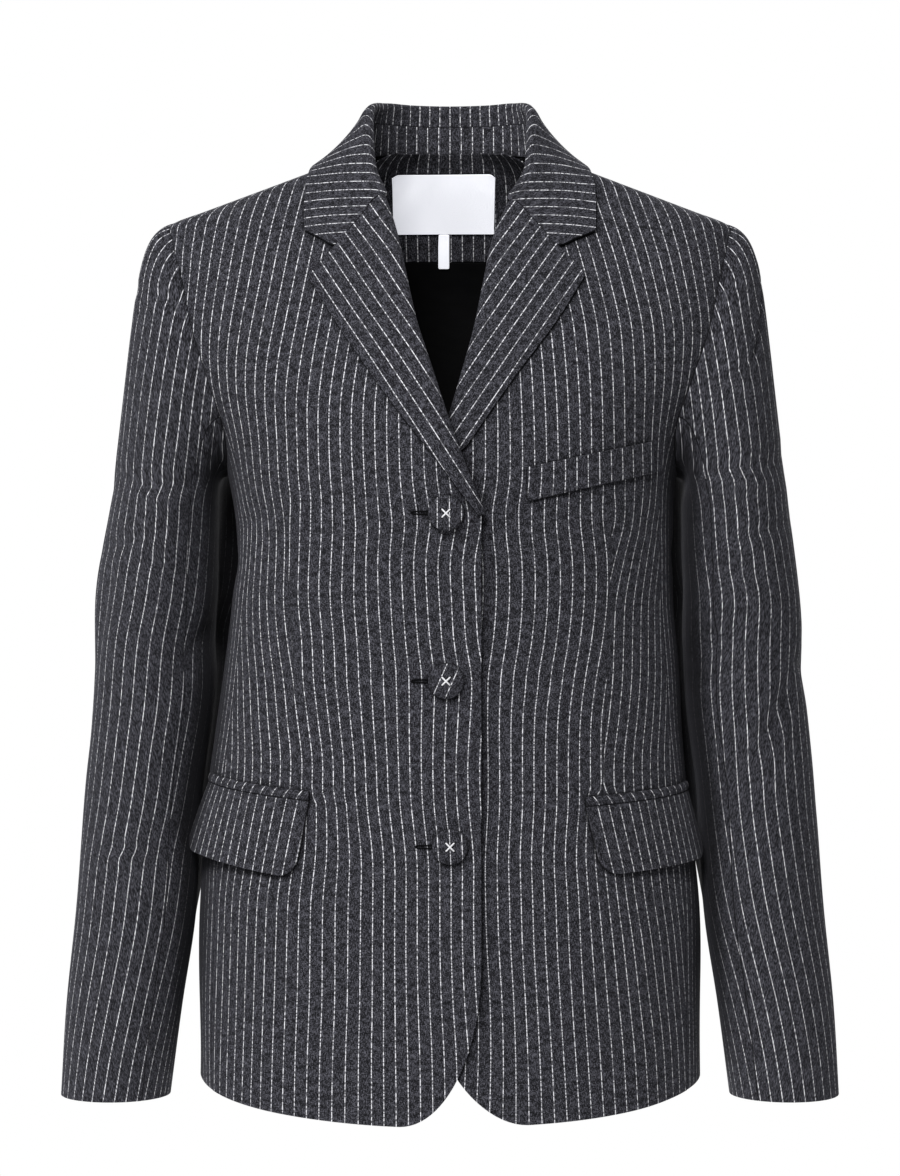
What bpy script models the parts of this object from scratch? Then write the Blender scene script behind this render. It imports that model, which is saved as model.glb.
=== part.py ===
"""Single breasted wool blazer, hollow, as if worn.

Each cut piece of the garment is its own thin solid. Frame in metres: +Z up, the front faces -Y, and the
wearer's right is at -X. The origin lies between the shoulders, at the height of the neck points.

The body pieces are patches on one form: a stack of level sections, each a superellipse with its own
half widths and depths. A place on the form is an angle round the body (0 at the centre front, 90 at the
side or on the shoulder ridge, 180 at the centre back, negative on the wearer's right) and a height.
"""

from collections import namedtuple

import bpy
import numpy as np
from mathutils import Vector

COLLECTION = "single_breasted_blazer"

# Cloth
WALL = 0.0018  # wool flannel with its interlining
LINING_WALL = 0.0010
LABEL_WALL = 0.0010
SEAM = 0.0002  # half the gap left between two pieces that are sewn together
SHOULDER_SEAM_ANGLE = 0.12  # the same, as an angle of the form on the shoulder ridge
CENTRE_SEAM_ANGLE = 0.03  # and at the centre back
LAYER = 0.0004  # air between two layers that lie on each other
EASE = 0.0016  # air between the back and the looser skin inside it
ROUNDNESS = 2.4  # exponent of the body's superellipse sections
NORMAL_TURN, NORMAL_RISE = 1.0, 0.0015  # steps round and up the form between which its normal is taken

# The body's level sections: height, half width on each side of the wearer, depth to the front and back
Section = namedtuple("Section", "z right left front back")
BODY = (
    Section(0.024, 0.0296, 0.0296, 0.010, 0.0560),
    Section(0.016, 0.0506, 0.0506, 0.013, 0.0620),
    Section(0.0075, 0.0728, 0.0728, 0.018, 0.0690),
    Section(-0.005, 0.1056, 0.1056, 0.027, 0.0770),
    Section(-0.021, 0.1474, 0.1474, 0.038, 0.0870),
    Section(-0.032, 0.1762, 0.1762, 0.046, 0.0930),
    Section(-0.0403, 0.1980, 0.1980, 0.052, 0.0970),
    Section(-0.055, 0.2045, 0.2045, 0.062, 0.1030),
    Section(-0.080, 0.2060, 0.2060, 0.082, 0.1110),
    Section(-0.122, 0.2025, 0.2025, 0.103, 0.1190),
    Section(-0.155, 0.1890, 0.1890, 0.1165, 0.1215),
    Section(-0.192, 0.1690, 0.1690, 0.1255, 0.1190),
    Section(-0.222, 0.1600, 0.1615, 0.1285, 0.1140),
    Section(-0.270, 0.1530, 0.1600, 0.1270, 0.1030),
    Section(-0.311, 0.1565, 0.1605, 0.1245, 0.0990),
    Section(-0.358, 0.1620, 0.1645, 0.1235, 0.1030),
    Section(-0.405, 0.1682, 0.1672, 0.1245, 0.1110),
    Section(-0.440, 0.1730, 0.1705, 0.1255, 0.1160),
    Section(-0.527, 0.1785, 0.1780, 0.1280, 0.1240),
    Section(-0.600, 0.1795, 0.1795, 0.1295, 0.1270),
    Section(-0.690, 0.1800, 0.1800, 0.1300, 0.1280),
)

# Neck, shoulders and armholes
NECK_POINT_Z = 0.0075  # where the shoulder seam meets the collar
SHOULDER_POINT_Z = -0.0403  # where the shoulder seam meets the sleeve
BACK_NECK_Z = 0.0160
FRONT_NECK_POWER = 1.6  # how much the neck seam hollows in front
FRONT_NECK_DROP = 0.0040  # the front's neck edge lies this much below the collar's, hidden by the collar
ARMHOLE_MID_Z = -0.1311
ARMHOLE_HALF_HEIGHT = 0.0908
ARMHOLE_HALF_ANGLE = 29.0
SIDE_FRONT_SEAM = 66.0  # angles of the seams that bound the side panel
SIDE_BACK_SEAM = 115.0

# Hem and front edges
HEM_SIDE_Z = -0.6500
HEM_FRONT_DROP = 0.0220  # the fronts hang this much lower than the sides
HEM_POWER = 1.5  # how quickly the hem rises from the front to the sides
FrontEdge = namedtuple("FrontEdge", "edge_x corner_x corner_width corner_height corner_power")
FRONT_EDGE = {
    "right": FrontEdge(0.0212, -0.0345, 0.0557, 0.110, 2.0),
    "left": FrontEdge(-0.0190, 0.0535, 0.0725, 0.112, 1.9),
}
OVERLAP_LIFT = 0.0034  # the right front over the left front
CROSSING_LIFT = 0.0085  # and over the left lapel, above the break
CROSSING_Z = (-0.285, -0.245)  # between these heights the lift grows
OVERLAP_X = (-0.100, 0.0)  # and between these widths it starts

# The line that each lapel rolls on, from below the neck down to its break
Roll = namedtuple("Roll", "z right left")
ROLL = (
    Roll(-0.0300, -0.0470, 0.0430),
    Roll(-0.0550, -0.0400, 0.0332),
    Roll(-0.0900, -0.0322, 0.0257),
    Roll(-0.1220, -0.0250, 0.0192),
    Roll(-0.1550, -0.0143, 0.0102),
    Roll(-0.1920, -0.0021, -0.0007),
    Roll(-0.2220, 0.0092, -0.0104),
    Roll(-0.2520, 0.0212, -0.0190),
)

# Each lapel's outer edge, from its tip to its lower end
LapelEdge = namedtuple("LapelEdge", "x z")
LAPEL_EDGE = {
    "right": (
        LapelEdge(-0.0990, -0.0856),
        LapelEdge(-0.0745, -0.1260),
        LapelEdge(-0.0378, -0.1790),
        LapelEdge(-0.0064, -0.2190),
        LapelEdge(0.0050, -0.2340),
    ),
    "left": (
        LapelEdge(0.0944, -0.0844),
        LapelEdge(0.0737, -0.1180),
        LapelEdge(0.0457, -0.1556),
        LapelEdge(0.0110, -0.2055),
    ),
}
LAPEL_ROWS = {"right": 11, "left": 10}  # steps of the roll line that the lapel spans, from the top
NOTCH_STEP = 3  # of the steps across the lapel's top, those along the gorge seam
# Section of the lapel's roll: distance from the roll line towards the lapel, and lift off the front
RollPoint = namedtuple("RollPoint", "along lift")
LAPEL_ROLL = (
    RollPoint(0.0110, -0.0046),
    RollPoint(0.0010, -0.0047),
    RollPoint(-0.0022, -0.0030),
    RollPoint(-0.0027, 0.0006),
    RollPoint(-0.0010, 0.0034),
    RollPoint(0.0050, 0.0048),
)
LAPEL_EDGE_LIFT = 0.0030
LEFT_FLAT_Z = (-0.190, -0.150)  # below these heights the left lapel lies flat, under the right front
INSIDE_SHARE = 0.7  # the roll's inside reaches at most this share of the lapel's width
WRAP = 0.0110  # the lapel reaches this far behind the front, past the roll line
INSIDE_COLUMNS = 4  # points of the roll's section that lie inside the roll

# Collar stations from the centre back to the gorge: a fold point, and an edge point on the form
CollarStation = namedtuple("CollarStation", "neckline fold_x fold_y fold_z edge_angle edge_z edge_lift")
COLLAR = (
    CollarStation(0.00, 0.0000, 0.0640, 0.0530, 180.0, 0.0020, 0.0090),
    CollarStation(0.32, 0.0260, 0.0590, 0.0530, 152.0, 0.0020, 0.0085),
    CollarStation(0.64, 0.0440, 0.0430, 0.0520, 125.0, 0.0010, 0.0070),
    CollarStation(1.00, 0.0525, 0.0160, 0.0450, 93.0, -0.0010, 0.0050),
    CollarStation(1.45, 0.0535, -0.0070, 0.0220, 50.0, -0.0130, 0.0040),
    CollarStation(1.75, 0.0515, -0.0260, -0.0040, 33.0, -0.0300, 0.0036),
)
STAND_END = 4.5  # the stand runs out between the fifth and the last station
COLLAR_CORNER_X = 0.1024
COLLAR_CORNER_Z = -0.0510
COLLAR_BULGE = 0.0030
GORGE_EASE = 0.0035  # the gorge seam opens this much more inside the roll
COLLAR_STRIP = 0.0160  # the top collar runs this far down inside the fold, to the stand
STRIP_SHARE = 0.72  # but at most this share of the way to the neck seam
# Section of the collar's fold: a share of that strip and a length down from the fold, and a way out
FoldPoint = namedtuple("FoldPoint", "strip down out")
COLLAR_FOLD = (
    FoldPoint(1.00, 0.0000, 0.0000),
    FoldPoint(0.66, 0.0000, 0.0000),
    FoldPoint(0.00, 0.0028, 0.0002),
    FoldPoint(0.00, 0.0000, 0.0026),
    FoldPoint(0.00, 0.0016, 0.0056),
    FoldPoint(0.00, 0.0060, 0.0074),
)
COLLAR_CLEAR = 0.00375  # least way off the chest
CHEST_SHARE = 0.985  # of the form's half width, inside which the chest lies below the collar

# Sleeves: height, centre and half sizes of the level sections; the cap is bent from the armhole to the first
# tuck draws the back of the sleeve in behind the body
SleeveSection = namedtuple("SleeveSection", "z mid_x half_width mid_y half_depth tuck")
SLEEVE = (
    SleeveSection(-0.245, 0.2050, 0.0385, 0.000, 0.0740, 0.020),
    SleeveSection(-0.310, 0.2092, 0.0425, 0.002, 0.0710, 0.036),
    SleeveSection(-0.380, 0.2126, 0.0438, 0.004, 0.0670, 0.036),
    SleeveSection(-0.445, 0.2195, 0.0425, -0.002, 0.0630, 0.024),
    SleeveSection(-0.530, 0.2243, 0.0432, -0.012, 0.0580, 0.008),
    SleeveSection(-0.600, 0.2325, 0.0412, -0.022, 0.0540, 0.000),
    SleeveSection(-0.662, 0.2378, 0.0388, -0.030, 0.0500, 0.000),
)
CAP_PUSH = 0.0260  # how far the cap leaves the armhole before it bends down
CAP_LEAN, CAP_DROP = 0.30, 0.24  # its way out there leans to the front or back, and down, by these
CAP_LOW = 0.35  # at the underarm the bend is this share of the one at the top
CAP_RISE = 0.80  # and the second bend starts this share of the way back up, at the top
CAP_SPREAD = 0.020  # drawn in towards the body by this
TUCK_SPREAD = 0.35  # share of the tuck that starts at the side
SLEEVE_RADIUS = 0.055  # mean radius, to measure the folds' run round the sleeve

# Largest folds of the sleeves: place and size of each soft trough or ridge
Fold = namedtuple("Fold", "z angle tilt length width depth")
SLEEVE_FOLDS = {
    "right": (
        Fold(-0.232, 62.0, -12.0, 0.080, 0.017, -0.0030),
        Fold(-0.300, 8.0, 84.0, 0.090, 0.018, 0.0035),
        Fold(-0.345, 140.0, 25.0, 0.060, 0.017, -0.0035),
        Fold(-0.487, 105.0, 10.0, 0.055, 0.017, -0.0028),
        Fold(-0.330, 215.0, 20.0, 0.080, 0.017, -0.0032),
        Fold(-0.420, 320.0, 15.0, 0.070, 0.018, -0.0030),
    ),
    "left": (
        Fold(-0.222, 75.0, 12.0, 0.080, 0.017, -0.0032),
        Fold(-0.345, 125.0, -30.0, 0.060, 0.017, -0.0035),
        Fold(-0.402, 60.0, -58.0, 0.080, 0.017, -0.0038),
        Fold(-0.362, 5.0, 10.0, 0.040, 0.019, -0.0030),
        Fold(-0.315, 220.0, -18.0, 0.080, 0.017, -0.0032),
        Fold(-0.440, 315.0, -20.0, 0.070, 0.018, -0.0030),
    ),
}

# Pockets: corners on the form as x and z, the strip above each flap, and how far the flap stands off
Flap = namedtuple(
    "Flap", "in_x in_top_z out_angle out_top_z in_foot_x in_foot_z out_foot_angle out_foot_z flare"
)
FLAP = {
    "right": Flap(0.0950, -0.4495, 76.0, -0.4400, 0.1060, -0.5030, 77.0, -0.4870, 0.0110),
    "left": Flap(0.0930, -0.4535, 76.0, -0.4460, 0.1040, -0.5010, 77.0, -0.4930, 0.0050),
}
JET_HEIGHT = 0.0065
FLAP_LIFT = 0.0026  # outer face off the front
FLAP_CORNER = 0.014
FLAP_SAG = 0.0015  # the flap's foot hangs this much further off
FLARE_POWER = 1.5
FLAP_SIZE = (0.117, 0.055)
Welt = namedtuple("Welt", "in_x in_foot_z in_top_z out_x out_foot_z out_top_z")
WELT = Welt(0.0530, -0.2430, -0.2195, 0.1410, -0.2221, -0.1998)

# Inside the neck
FACING_FOOT_Z = -0.0580
FACING_ANGLE = 62.0  # the facing spans this far on each side of the centre back
LINING_FOOT_Z = -0.6250
LABEL_BOX = (-0.0425, 0.0330, -0.0402, 0.0022)  # x from, x to, z from, z to
TAB_BOX = (-0.0081, -0.0005, -0.0660, -0.0406)

# Buttons on the right front
BUTTON_RADIUS = 0.0121
BUTTON_HEIGHT = 0.0052
ButtonPoint = namedtuple("ButtonPoint", "out up")  # the dome's profile, as shares of radius and height
BUTTON_PROFILE = (
    ButtonPoint(0.00, 1.00),
    ButtonPoint(0.45, 0.97),
    ButtonPoint(0.80, 0.84),
    ButtonPoint(1.00, 0.52),
    ButtonPoint(0.93, 0.18),
    ButtonPoint(0.60, 0.00),
    ButtonPoint(0.00, 0.00),
)
BUTTON_SIDES = 20
Button = namedtuple("Button", "x z seat")  # seat is the button's foot off the front
BUTTONS = (
    Button(-0.0027, -0.2506, -0.0003),
    Button(-0.0027, -0.3664, 0.0001),
    Button(0.0000, -0.4800, -0.0001),
)

# Colours are linear
FLANNEL = ((0.052, 0.052, 0.062), 0.95)
LINING = ((0.006, 0.006, 0.007), 0.55)
LABEL = ((0.86, 0.86, 0.87), 0.60)

SHARP_ANGLE = 40.0
SIDES = {"right": -1.0, "left": 1.0}

# Steps of the grids. A front's border has as many on its edge as on its side:
# corner, edge, roll line and neck together equal the side seam and the armhole's arc, and so do a
# back's centre seam and neck.
CORNER_STEPS, EDGE_STEPS, ROLL_STEPS, NECK_STEPS = 4, 6, 12, 4
SIDE_STEPS, ARC_STEPS = 18, 8
UNDER_STEPS = 5  # across the side panel and the under sleeve
ACROSS_STEPS = 9  # across a front or a back
LAPEL_ACROSS = 5
STATION_STEPS = 2  # between two of the collar's stations
CAP_STEPS, ARM_STEPS = 6, 18


def table(rows, column):
    """One named column of a table, as an array."""
    return np.array([getattr(row, column) for row in rows])


def smooth(at, xs, ys):
    """Reads a smooth curve through points at rising xs: cubics whose slopes come from the neighbours."""
    slope = np.gradient(ys, xs, axis=0)
    i = np.clip(np.searchsorted(xs, at, side="right") - 1, 0, len(xs) - 2)
    width = xs[i + 1] - xs[i]
    t = np.clip((at - xs[i]) / width, 0.0, 1.0)
    spare = (1,) * (ys.ndim - 1)
    width, t = width.reshape(width.shape + spare), t.reshape(t.shape + spare)
    return (
        (2 * t**3 - 3 * t**2 + 1) * ys[i]
        + (t**3 - 2 * t**2 + t) * width * slope[i]
        + (3 * t**2 - 2 * t**3) * ys[i + 1]
        + (t**3 - t**2) * width * slope[i + 1]
    )


def at_height(z, rows, column):
    """A column of a table whose rows go down, read at the heights z."""
    return smooth(-np.asarray(z, float), -table(rows, "z"), table(rows, column))


def step(a, b, x):
    """0 below a, 1 above b, and smooth between."""
    t = np.clip((x - a) / (b - a), 0.0, 1.0)
    return t * t * (3 - 2 * t)


def between(a, b, steps):
    return np.linspace(a, b, steps + 1)


def chain(*runs):
    """Joins runs of (angle, z) points whose ends meet into one line."""
    runs = [np.stack(np.broadcast_arrays(*run), axis=-1) for run in runs]
    return np.concatenate([runs[0]] + [run[1:] for run in runs[1:]])


def unit(vectors):
    return vectors / np.linalg.norm(vectors, axis=-1, keepdims=True)


# The form


def half_width(angle, z):
    """The form's half width at a height, on the side that the angle lies on."""
    return np.where(angle < 0, at_height(z, BODY, "right"), at_height(z, BODY, "left"))


def on_form(angle, z):
    """Points of the form: superellipse sections with their own depths in front and behind."""
    turn = np.radians(angle)
    s, c = np.sin(turn), np.cos(turn)
    depth = np.where(c > 0, -at_height(z, BODY, "front"), at_height(z, BODY, "back"))
    power = 2 / ROUNDNESS
    x = np.sign(s) * half_width(s, z) * np.abs(s) ** power
    return np.stack([x, depth * np.abs(c) ** power, z + 0 * x], axis=-1)


def body(angle, z, lift=0.0):
    """Points of the form, moved out along its normal by lift."""
    angle, z, lift = np.broadcast_arrays(*(np.asarray(a, float) for a in (angle, z, lift)))
    across = on_form(angle + NORMAL_TURN, z) - on_form(angle - NORMAL_TURN, z)
    up = on_form(angle, z + NORMAL_RISE) - on_form(angle, z - NORMAL_RISE)
    return on_form(angle, z) + unit(np.cross(across, up)) * lift[..., None]


def angle_at(x, z):
    """The front angle at which the form's section reaches x."""
    share = np.clip(np.abs(x) / half_width(np.asarray(x, float), z), 0.0, 1.0)
    return np.sign(x) * np.degrees(np.arcsin(share ** (ROUNDNESS / 2)))


def hem_z(angle):
    """The hem's height round the body, lower in front."""
    return HEM_SIDE_Z - HEM_FRONT_DROP * np.clip(np.cos(np.radians(angle)), 0, 1) ** HEM_POWER


def armhole(turn):
    """The armhole seam as angle and height: an oval on the form, turn 0 at its top and 90 in front."""
    turn = np.radians(turn)
    return 90.0 - ARMHOLE_HALF_ANGLE * np.sin(turn), ARMHOLE_MID_Z + ARMHOLE_HALF_HEIGHT * np.cos(turn)


def armhole_turn(angle):
    """The turn at which the armhole's lower half reaches that angle of the form."""
    return 180.0 - np.degrees(np.arcsin((90.0 - angle) / ARMHOLE_HALF_ANGLE))


def armhole_turns(detail=1):
    """The turns at which the armhole's pieces and the sleeve have their points, once round."""
    low, high = armhole_turn(SIDE_FRONT_SEAM), armhole_turn(SIDE_BACK_SEAM)
    front = between(0.0, low, ARC_STEPS * detail)
    under = between(low, high, UNDER_STEPS * detail)
    back = between(high, 360.0, ARC_STEPS * detail)
    return front, under, back


def roll_x(z, side):
    return at_height(z, ROLL, side)


def roll_heights(detail=1):
    return between(ROLL[-1].z, ROLL[0].z, ROLL_STEPS * detail)


def neckline(side, t):
    """Angle and height of the neck seam: t 0 at the centre back, 1 at the neck point, 2 at the gorge."""
    behind, ahead = np.clip(t, 0, 1), np.clip(t - 1, 0, 1) ** FRONT_NECK_POWER
    point_x = abs(float(half_width(1.0, NECK_POINT_Z)))
    gorge_x = abs(getattr(ROLL[0], side))
    ahead_z = NECK_POINT_Z + (ROLL[0].z - NECK_POINT_Z) * ahead
    ahead_angle = angle_at(point_x + (gorge_x - point_x) * ahead, ahead_z)
    angle = np.where(t <= 1, 180.0 - 90.0 * behind, np.minimum(ahead_angle, 90.0 - SHOULDER_SEAM_ANGLE))
    z = np.where(t <= 1, BACK_NECK_Z + (NECK_POINT_Z - BACK_NECK_Z) * behind**2, ahead_z)
    return SIDES[side] * angle, z


def front_lift(x, z, side):
    """The right front lies over the left one, and higher where it crosses the left lapel."""
    if side == "left":
        return 0.0 * x
    height = OVERLAP_LIFT + (CROSSING_LIFT - OVERLAP_LIFT) * step(*CROSSING_Z, z)
    return height * step(*OVERLAP_X, x)


def on_front(x, z, side, lift=0.0):
    """Points on a front's outer face, by x and z, moved out by lift."""
    return body(angle_at(x, z), z, front_lift(x, z, side) + lift)


# Grids of the body's pieces: rows go up, columns go from the front or back edge to the side


def coons(inner, outer, foot, top):
    """Fills four border lines with a grid: each row and column is stretched between its ends."""
    v = np.linspace(0, 1, len(inner))[:, None, None]
    w = np.linspace(0, 1, len(foot))[None, :, None]
    return (
        (1 - w) * inner[:, None]
        + w * outer[:, None]
        + (1 - v) * foot[None]
        + v * top[None]
        - (1 - v) * ((1 - w) * inner[0] + w * outer[0])
        - v * ((1 - w) * inner[-1] + w * outer[-1])
    )


def seam_angle(angle, away):
    """An angle moved off its seam, by the seam's half gap."""
    return angle + away * np.degrees(SEAM / 0.11)


def front_grid(side, detail=1):
    """A front: rounded corner, edge, roll line and neckline inside, side seam and armhole outside."""
    sign = SIDES[side]
    cut = FRONT_EDGE[side]
    foot_z = float(hem_z(angle_at(cut.corner_x, HEM_SIDE_Z)))
    turn = np.radians(between(0, 90, CORNER_STEPS * detail))
    power = 2 / cut.corner_power
    corner_x = cut.corner_x - sign * cut.corner_width * np.sin(turn) ** power
    corner_z = foot_z + cut.corner_height * (1 - np.abs(np.cos(turn)) ** power)
    edge_z = between(corner_z[-1], ROLL[-1].z, EDGE_STEPS * detail)
    roll_z = roll_heights(detail)
    roll_z[-1] -= FRONT_NECK_DROP
    along_neck = between(2.0, 1.0, NECK_STEPS * detail)
    neck_angle, neck_z = neckline(side, along_neck)
    neck_z = neck_z - FRONT_NECK_DROP * step(1.0, 1.5, along_neck)
    neck_angle[0] = angle_at(roll_x(roll_z[-1], side), roll_z[-1])
    inner = chain(
        (angle_at(corner_x, corner_z), corner_z),
        (angle_at(cut.edge_x, edge_z), edge_z),
        (angle_at(roll_x(roll_z, side), roll_z), roll_z),
        (neck_angle, neck_z),
    )
    seam = seam_angle(SIDE_FRONT_SEAM, -1)
    turns = armhole_turns(detail)[0][::-1]
    hole_angle, hole_z = armhole(turns)
    hole_angle = np.minimum(hole_angle, 90.0 - SHOULDER_SEAM_ANGLE)
    hole_angle[0] = seam
    side_z = between(hem_z(seam), hole_z[0], SIDE_STEPS * detail)
    outer = chain((sign * seam, side_z), (sign * hole_angle, hole_z))
    foot_angle = between(inner[0, 0], outer[0, 0], ACROSS_STEPS * detail)
    foot = np.stack([foot_angle, hem_z(foot_angle)], axis=-1)
    foot[:, 1] += (foot_z - foot[0, 1]) * np.linspace(1, 0, len(foot))
    top = np.linspace(inner[-1], outer[-1], ACROSS_STEPS * detail + 1)
    angle, z = np.moveaxis(coons(inner, outer, foot, top), -1, 0)
    flat = on_form(angle, z)
    return angle, z, front_lift(flat[..., 0], flat[..., 2], side)


def side_grid(side, detail=1):
    """A side panel, between the side seams, with the foot of the armhole at its top."""
    sign = SIDES[side]
    front, back = seam_angle(SIDE_FRONT_SEAM, 1), seam_angle(SIDE_BACK_SEAM, -1)
    hole_angle, hole_z = armhole(armhole_turns(detail)[1])
    hole_angle[0], hole_angle[-1] = front, back
    inner = chain((sign * front, between(hem_z(front), hole_z[0], SIDE_STEPS * detail)))
    outer = chain((sign * back, between(hem_z(back), hole_z[-1], SIDE_STEPS * detail)))
    foot_angle = between(front, back, UNDER_STEPS * detail)
    foot = chain((sign * foot_angle, hem_z(foot_angle)))
    angle, z = np.moveaxis(coons(inner, outer, foot, chain((sign * hole_angle, hole_z))), -1, 0)
    return angle, z, 0.0


def back_grid(side, detail=1):
    """A back half: centre seam and neck on one side, side seam and armhole on the other."""
    sign = SIDES[side]
    centre, seam = 180.0 - CENTRE_SEAM_ANGLE, seam_angle(SIDE_BACK_SEAM, 1)
    hole_angle, hole_z = armhole(armhole_turns(detail)[2])
    hole_angle = np.maximum(hole_angle, 90.0 + SHOULDER_SEAM_ANGLE)
    hole_angle[0] = seam
    side_z = between(hem_z(seam), hole_z[0], SIDE_STEPS * detail)
    outer = chain((sign * seam, side_z), (sign * hole_angle, hole_z))
    neck_angle, neck_z = neckline(side, between(0.0, 1.0, NECK_STEPS * detail))
    neck_angle[0], neck_angle[-1] = sign * centre, sign * (90.0 + SHOULDER_SEAM_ANGLE)
    centre_z = between(hem_z(centre), BACK_NECK_Z, len(outer) - len(neck_z))
    inner = chain((sign * centre, centre_z), (neck_angle, neck_z))
    foot_angle = between(centre, seam, ACROSS_STEPS * detail)
    foot = chain((sign * foot_angle, hem_z(foot_angle)))
    top = np.linspace(inner[-1], outer[-1], ACROSS_STEPS * detail + 1)
    angle, z = np.moveaxis(coons(inner, outer, foot, top), -1, 0)
    return angle, z, 0.0


# Grids worked out as points


def normals(points, flip):
    """Each grid point's normal, from its neighbours along the rows and the columns."""
    return flip * unit(np.cross(np.gradient(points, axis=1), np.gradient(points, axis=0)))


def lapel_plan(side, detail=1):
    """The lapel seen flat, as x, z and lift: it wraps the roll edge and lies out to the lapel's edge."""
    rise = between(0.0, 1.0, LAPEL_ROWS[side] * detail)
    roll_z = roll_heights(detail)[-len(rise) :].copy()
    roll_z[-1] -= SEAM
    roll = np.stack([roll_x(roll_z, side), roll_z], axis=-1)
    corners = np.array(LAPEL_EDGE[side][::-1])
    run = np.concatenate([[0.0], np.cumsum(np.linalg.norm(np.diff(corners, axis=0), axis=1))])
    edge = smooth(rise, run / run[-1], corners)
    along = np.gradient(roll, axis=0)
    out = SIDES[side] * unit(np.stack([along[:, 1], -along[:, 0]], axis=-1))
    reach = INSIDE_SHARE * np.linalg.norm(edge - roll, axis=1)
    squeeze = np.minimum(1.0, reach / WRAP)[:, None]
    wrap = [roll + out * point.along * (squeeze if point.along > 0 else 1.0) for point in LAPEL_ROLL]
    shares = between(0.0, 1.0, LAPEL_ACROSS * detail)[1:]
    plan = np.stack(wrap + [wrap[-1] + (edge - wrap[-1]) * share for share in shares], axis=1)
    plan[-1, :INSIDE_COLUMNS, 1] -= GORGE_EASE / 2
    crest = LAPEL_ROLL[-1].lift
    lift = np.concatenate([table(LAPEL_ROLL, "lift"), crest + (LAPEL_EDGE_LIFT - crest) * shares])
    flat = step(*LEFT_FLAT_Z, roll_z)[:, None] if side == "left" else 1.0
    lift = np.minimum(lift, LAPEL_EDGE_LIFT + (lift - LAPEL_EDGE_LIFT) * flat) + 0.0 * plan[..., 0]
    return plan[..., 0], plan[..., 1], lift


def lapel_points(side, detail=1):
    x, z, lift = lapel_plan(side, detail)
    return on_front(x, z, side, lift)


def gorge_row(side, detail=1):
    """The collar's end: beside the lapel's top as far as the notch, then out to the collar's corner."""
    x, z, lift = (values[-1].copy() for values in lapel_plan(side, detail))
    z += 3 * SEAM
    z[:INSIDE_COLUMNS] += GORGE_EASE * 1.5
    x[0] = x[1]
    notch = len(LAPEL_ROLL) - 1 + NOTCH_STEP * detail
    share = np.linspace(0.0, 1.0, len(x) - notch)
    x[notch:] = x[notch] + (SIDES[side] * COLLAR_CORNER_X - x[notch]) * share
    z[notch:] = z[notch] + (COLLAR_CORNER_Z - z[notch]) * share
    return on_front(x, z, side, lift)


def collar_frames():
    """The stations from the right to the left: fold, neck seam, edge, and the up and outward directions."""
    rows = [(SIDES["right"], station) for station in COLLAR[:0:-1]] + [(SIDES["left"], s) for s in COLLAR]
    fold = np.array([(sign * s.fold_x, s.fold_y, s.fold_z) for sign, s in rows])
    edge = np.array([body(sign * s.edge_angle, s.edge_z, s.edge_lift) for sign, s in rows])
    names = {-1.0: "right", 1.0: "left"}
    base = np.array([body(*neckline(names[sign], s.neckline)) for sign, s in rows])
    up = unit(fold - base)
    out = unit(np.cross(up, np.gradient(fold, axis=0)))
    return fold, base, edge, up, out


def collar_strip(fold, base):
    """How far the top collar runs down inside the fold at each station."""
    return np.minimum(COLLAR_STRIP, STRIP_SHARE * np.linalg.norm(fold - base, axis=1))[:, None]


def collar_points(detail=1):
    """Top collar: up inside the fold, over it, and down to the edge; its ends lie beside the lapels."""
    fold, base, edge, up, out = collar_frames()
    strip = collar_strip(fold, base)
    wrap = [fold - up * (point.strip * strip + point.down) + out * point.out for point in COLLAR_FOLD]
    shares = between(0.0, 1.0, LAPEL_ACROSS * detail)[1:]
    swell = unit(np.cross(np.gradient(fold, axis=0), edge - wrap[-1])) * COLLAR_BULGE
    fall = [wrap[-1] + (edge - wrap[-1]) * s - swell * 4 * s * (1 - s) for s in shares]
    sections = np.stack(wrap + fall, axis=1)
    sections = np.concatenate([[gorge_row("right", detail)], sections, [gorge_row("left", detail)]])
    at = between(0.0, len(sections) - 1.0, STATION_STEPS * detail * (len(sections) - 1))
    return clear_of_front(smooth(at, np.arange(len(sections)), sections), len(LAPEL_ROLL))


def clear_of_front(points, wrap_columns):
    """Brings the part of the collar that lies on the chest at least its own thickness off it."""
    x, y, z = np.moveaxis(points, -1, 0)
    over_front = (np.abs(x) < CHEST_SHARE * half_width(x, z)) & (y < 0.0)
    over_front[:, :wrap_columns] = False
    face = on_form(angle_at(x, z), z)[..., 1] - COLLAR_CLEAR
    return np.stack([x, np.where(over_front, np.minimum(y, face), y), z], axis=-1)


def stand_points(detail=1):
    """The collar stand's inner face: from the neck seam up to the top collar."""
    fold, base, _, up, out = collar_frames()
    foot = base + up * 5 * SEAM - out * (WALL + 2 * SEAM)
    head = fold - up * (collar_strip(fold, base) + 4 * SEAM)
    sections = np.stack([foot + (head - foot) * share for share in between(0.0, 1.0, 2 * detail)], axis=1)
    stations = np.arange(len(sections))
    middle = (len(sections) - 1) / 2
    at = between(middle - STAND_END, middle + STAND_END, int(4 * STAND_END) * detail)
    return smooth(at, stations, sections)


def fold_depth(side, angle, z):
    """The sleeve's folds, added up: each is a soft ridge or trough with its own run across the sleeve."""
    total = 0.0 * (angle + z)
    for fold in SLEEVE_FOLDS[side]:
        round_by = np.radians((angle - fold.angle + 180.0) % 360.0 - 180.0) * SLEEVE_RADIUS
        tilt = np.radians(fold.tilt)
        along = round_by * np.cos(tilt) + (z - fold.z) * np.sin(tilt)
        across = (z - fold.z) * np.cos(tilt) - round_by * np.sin(tilt)
        total += fold.depth * np.exp(-((across / fold.width) ** 2) - (2 * along / fold.length) ** 2)
    return total


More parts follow.
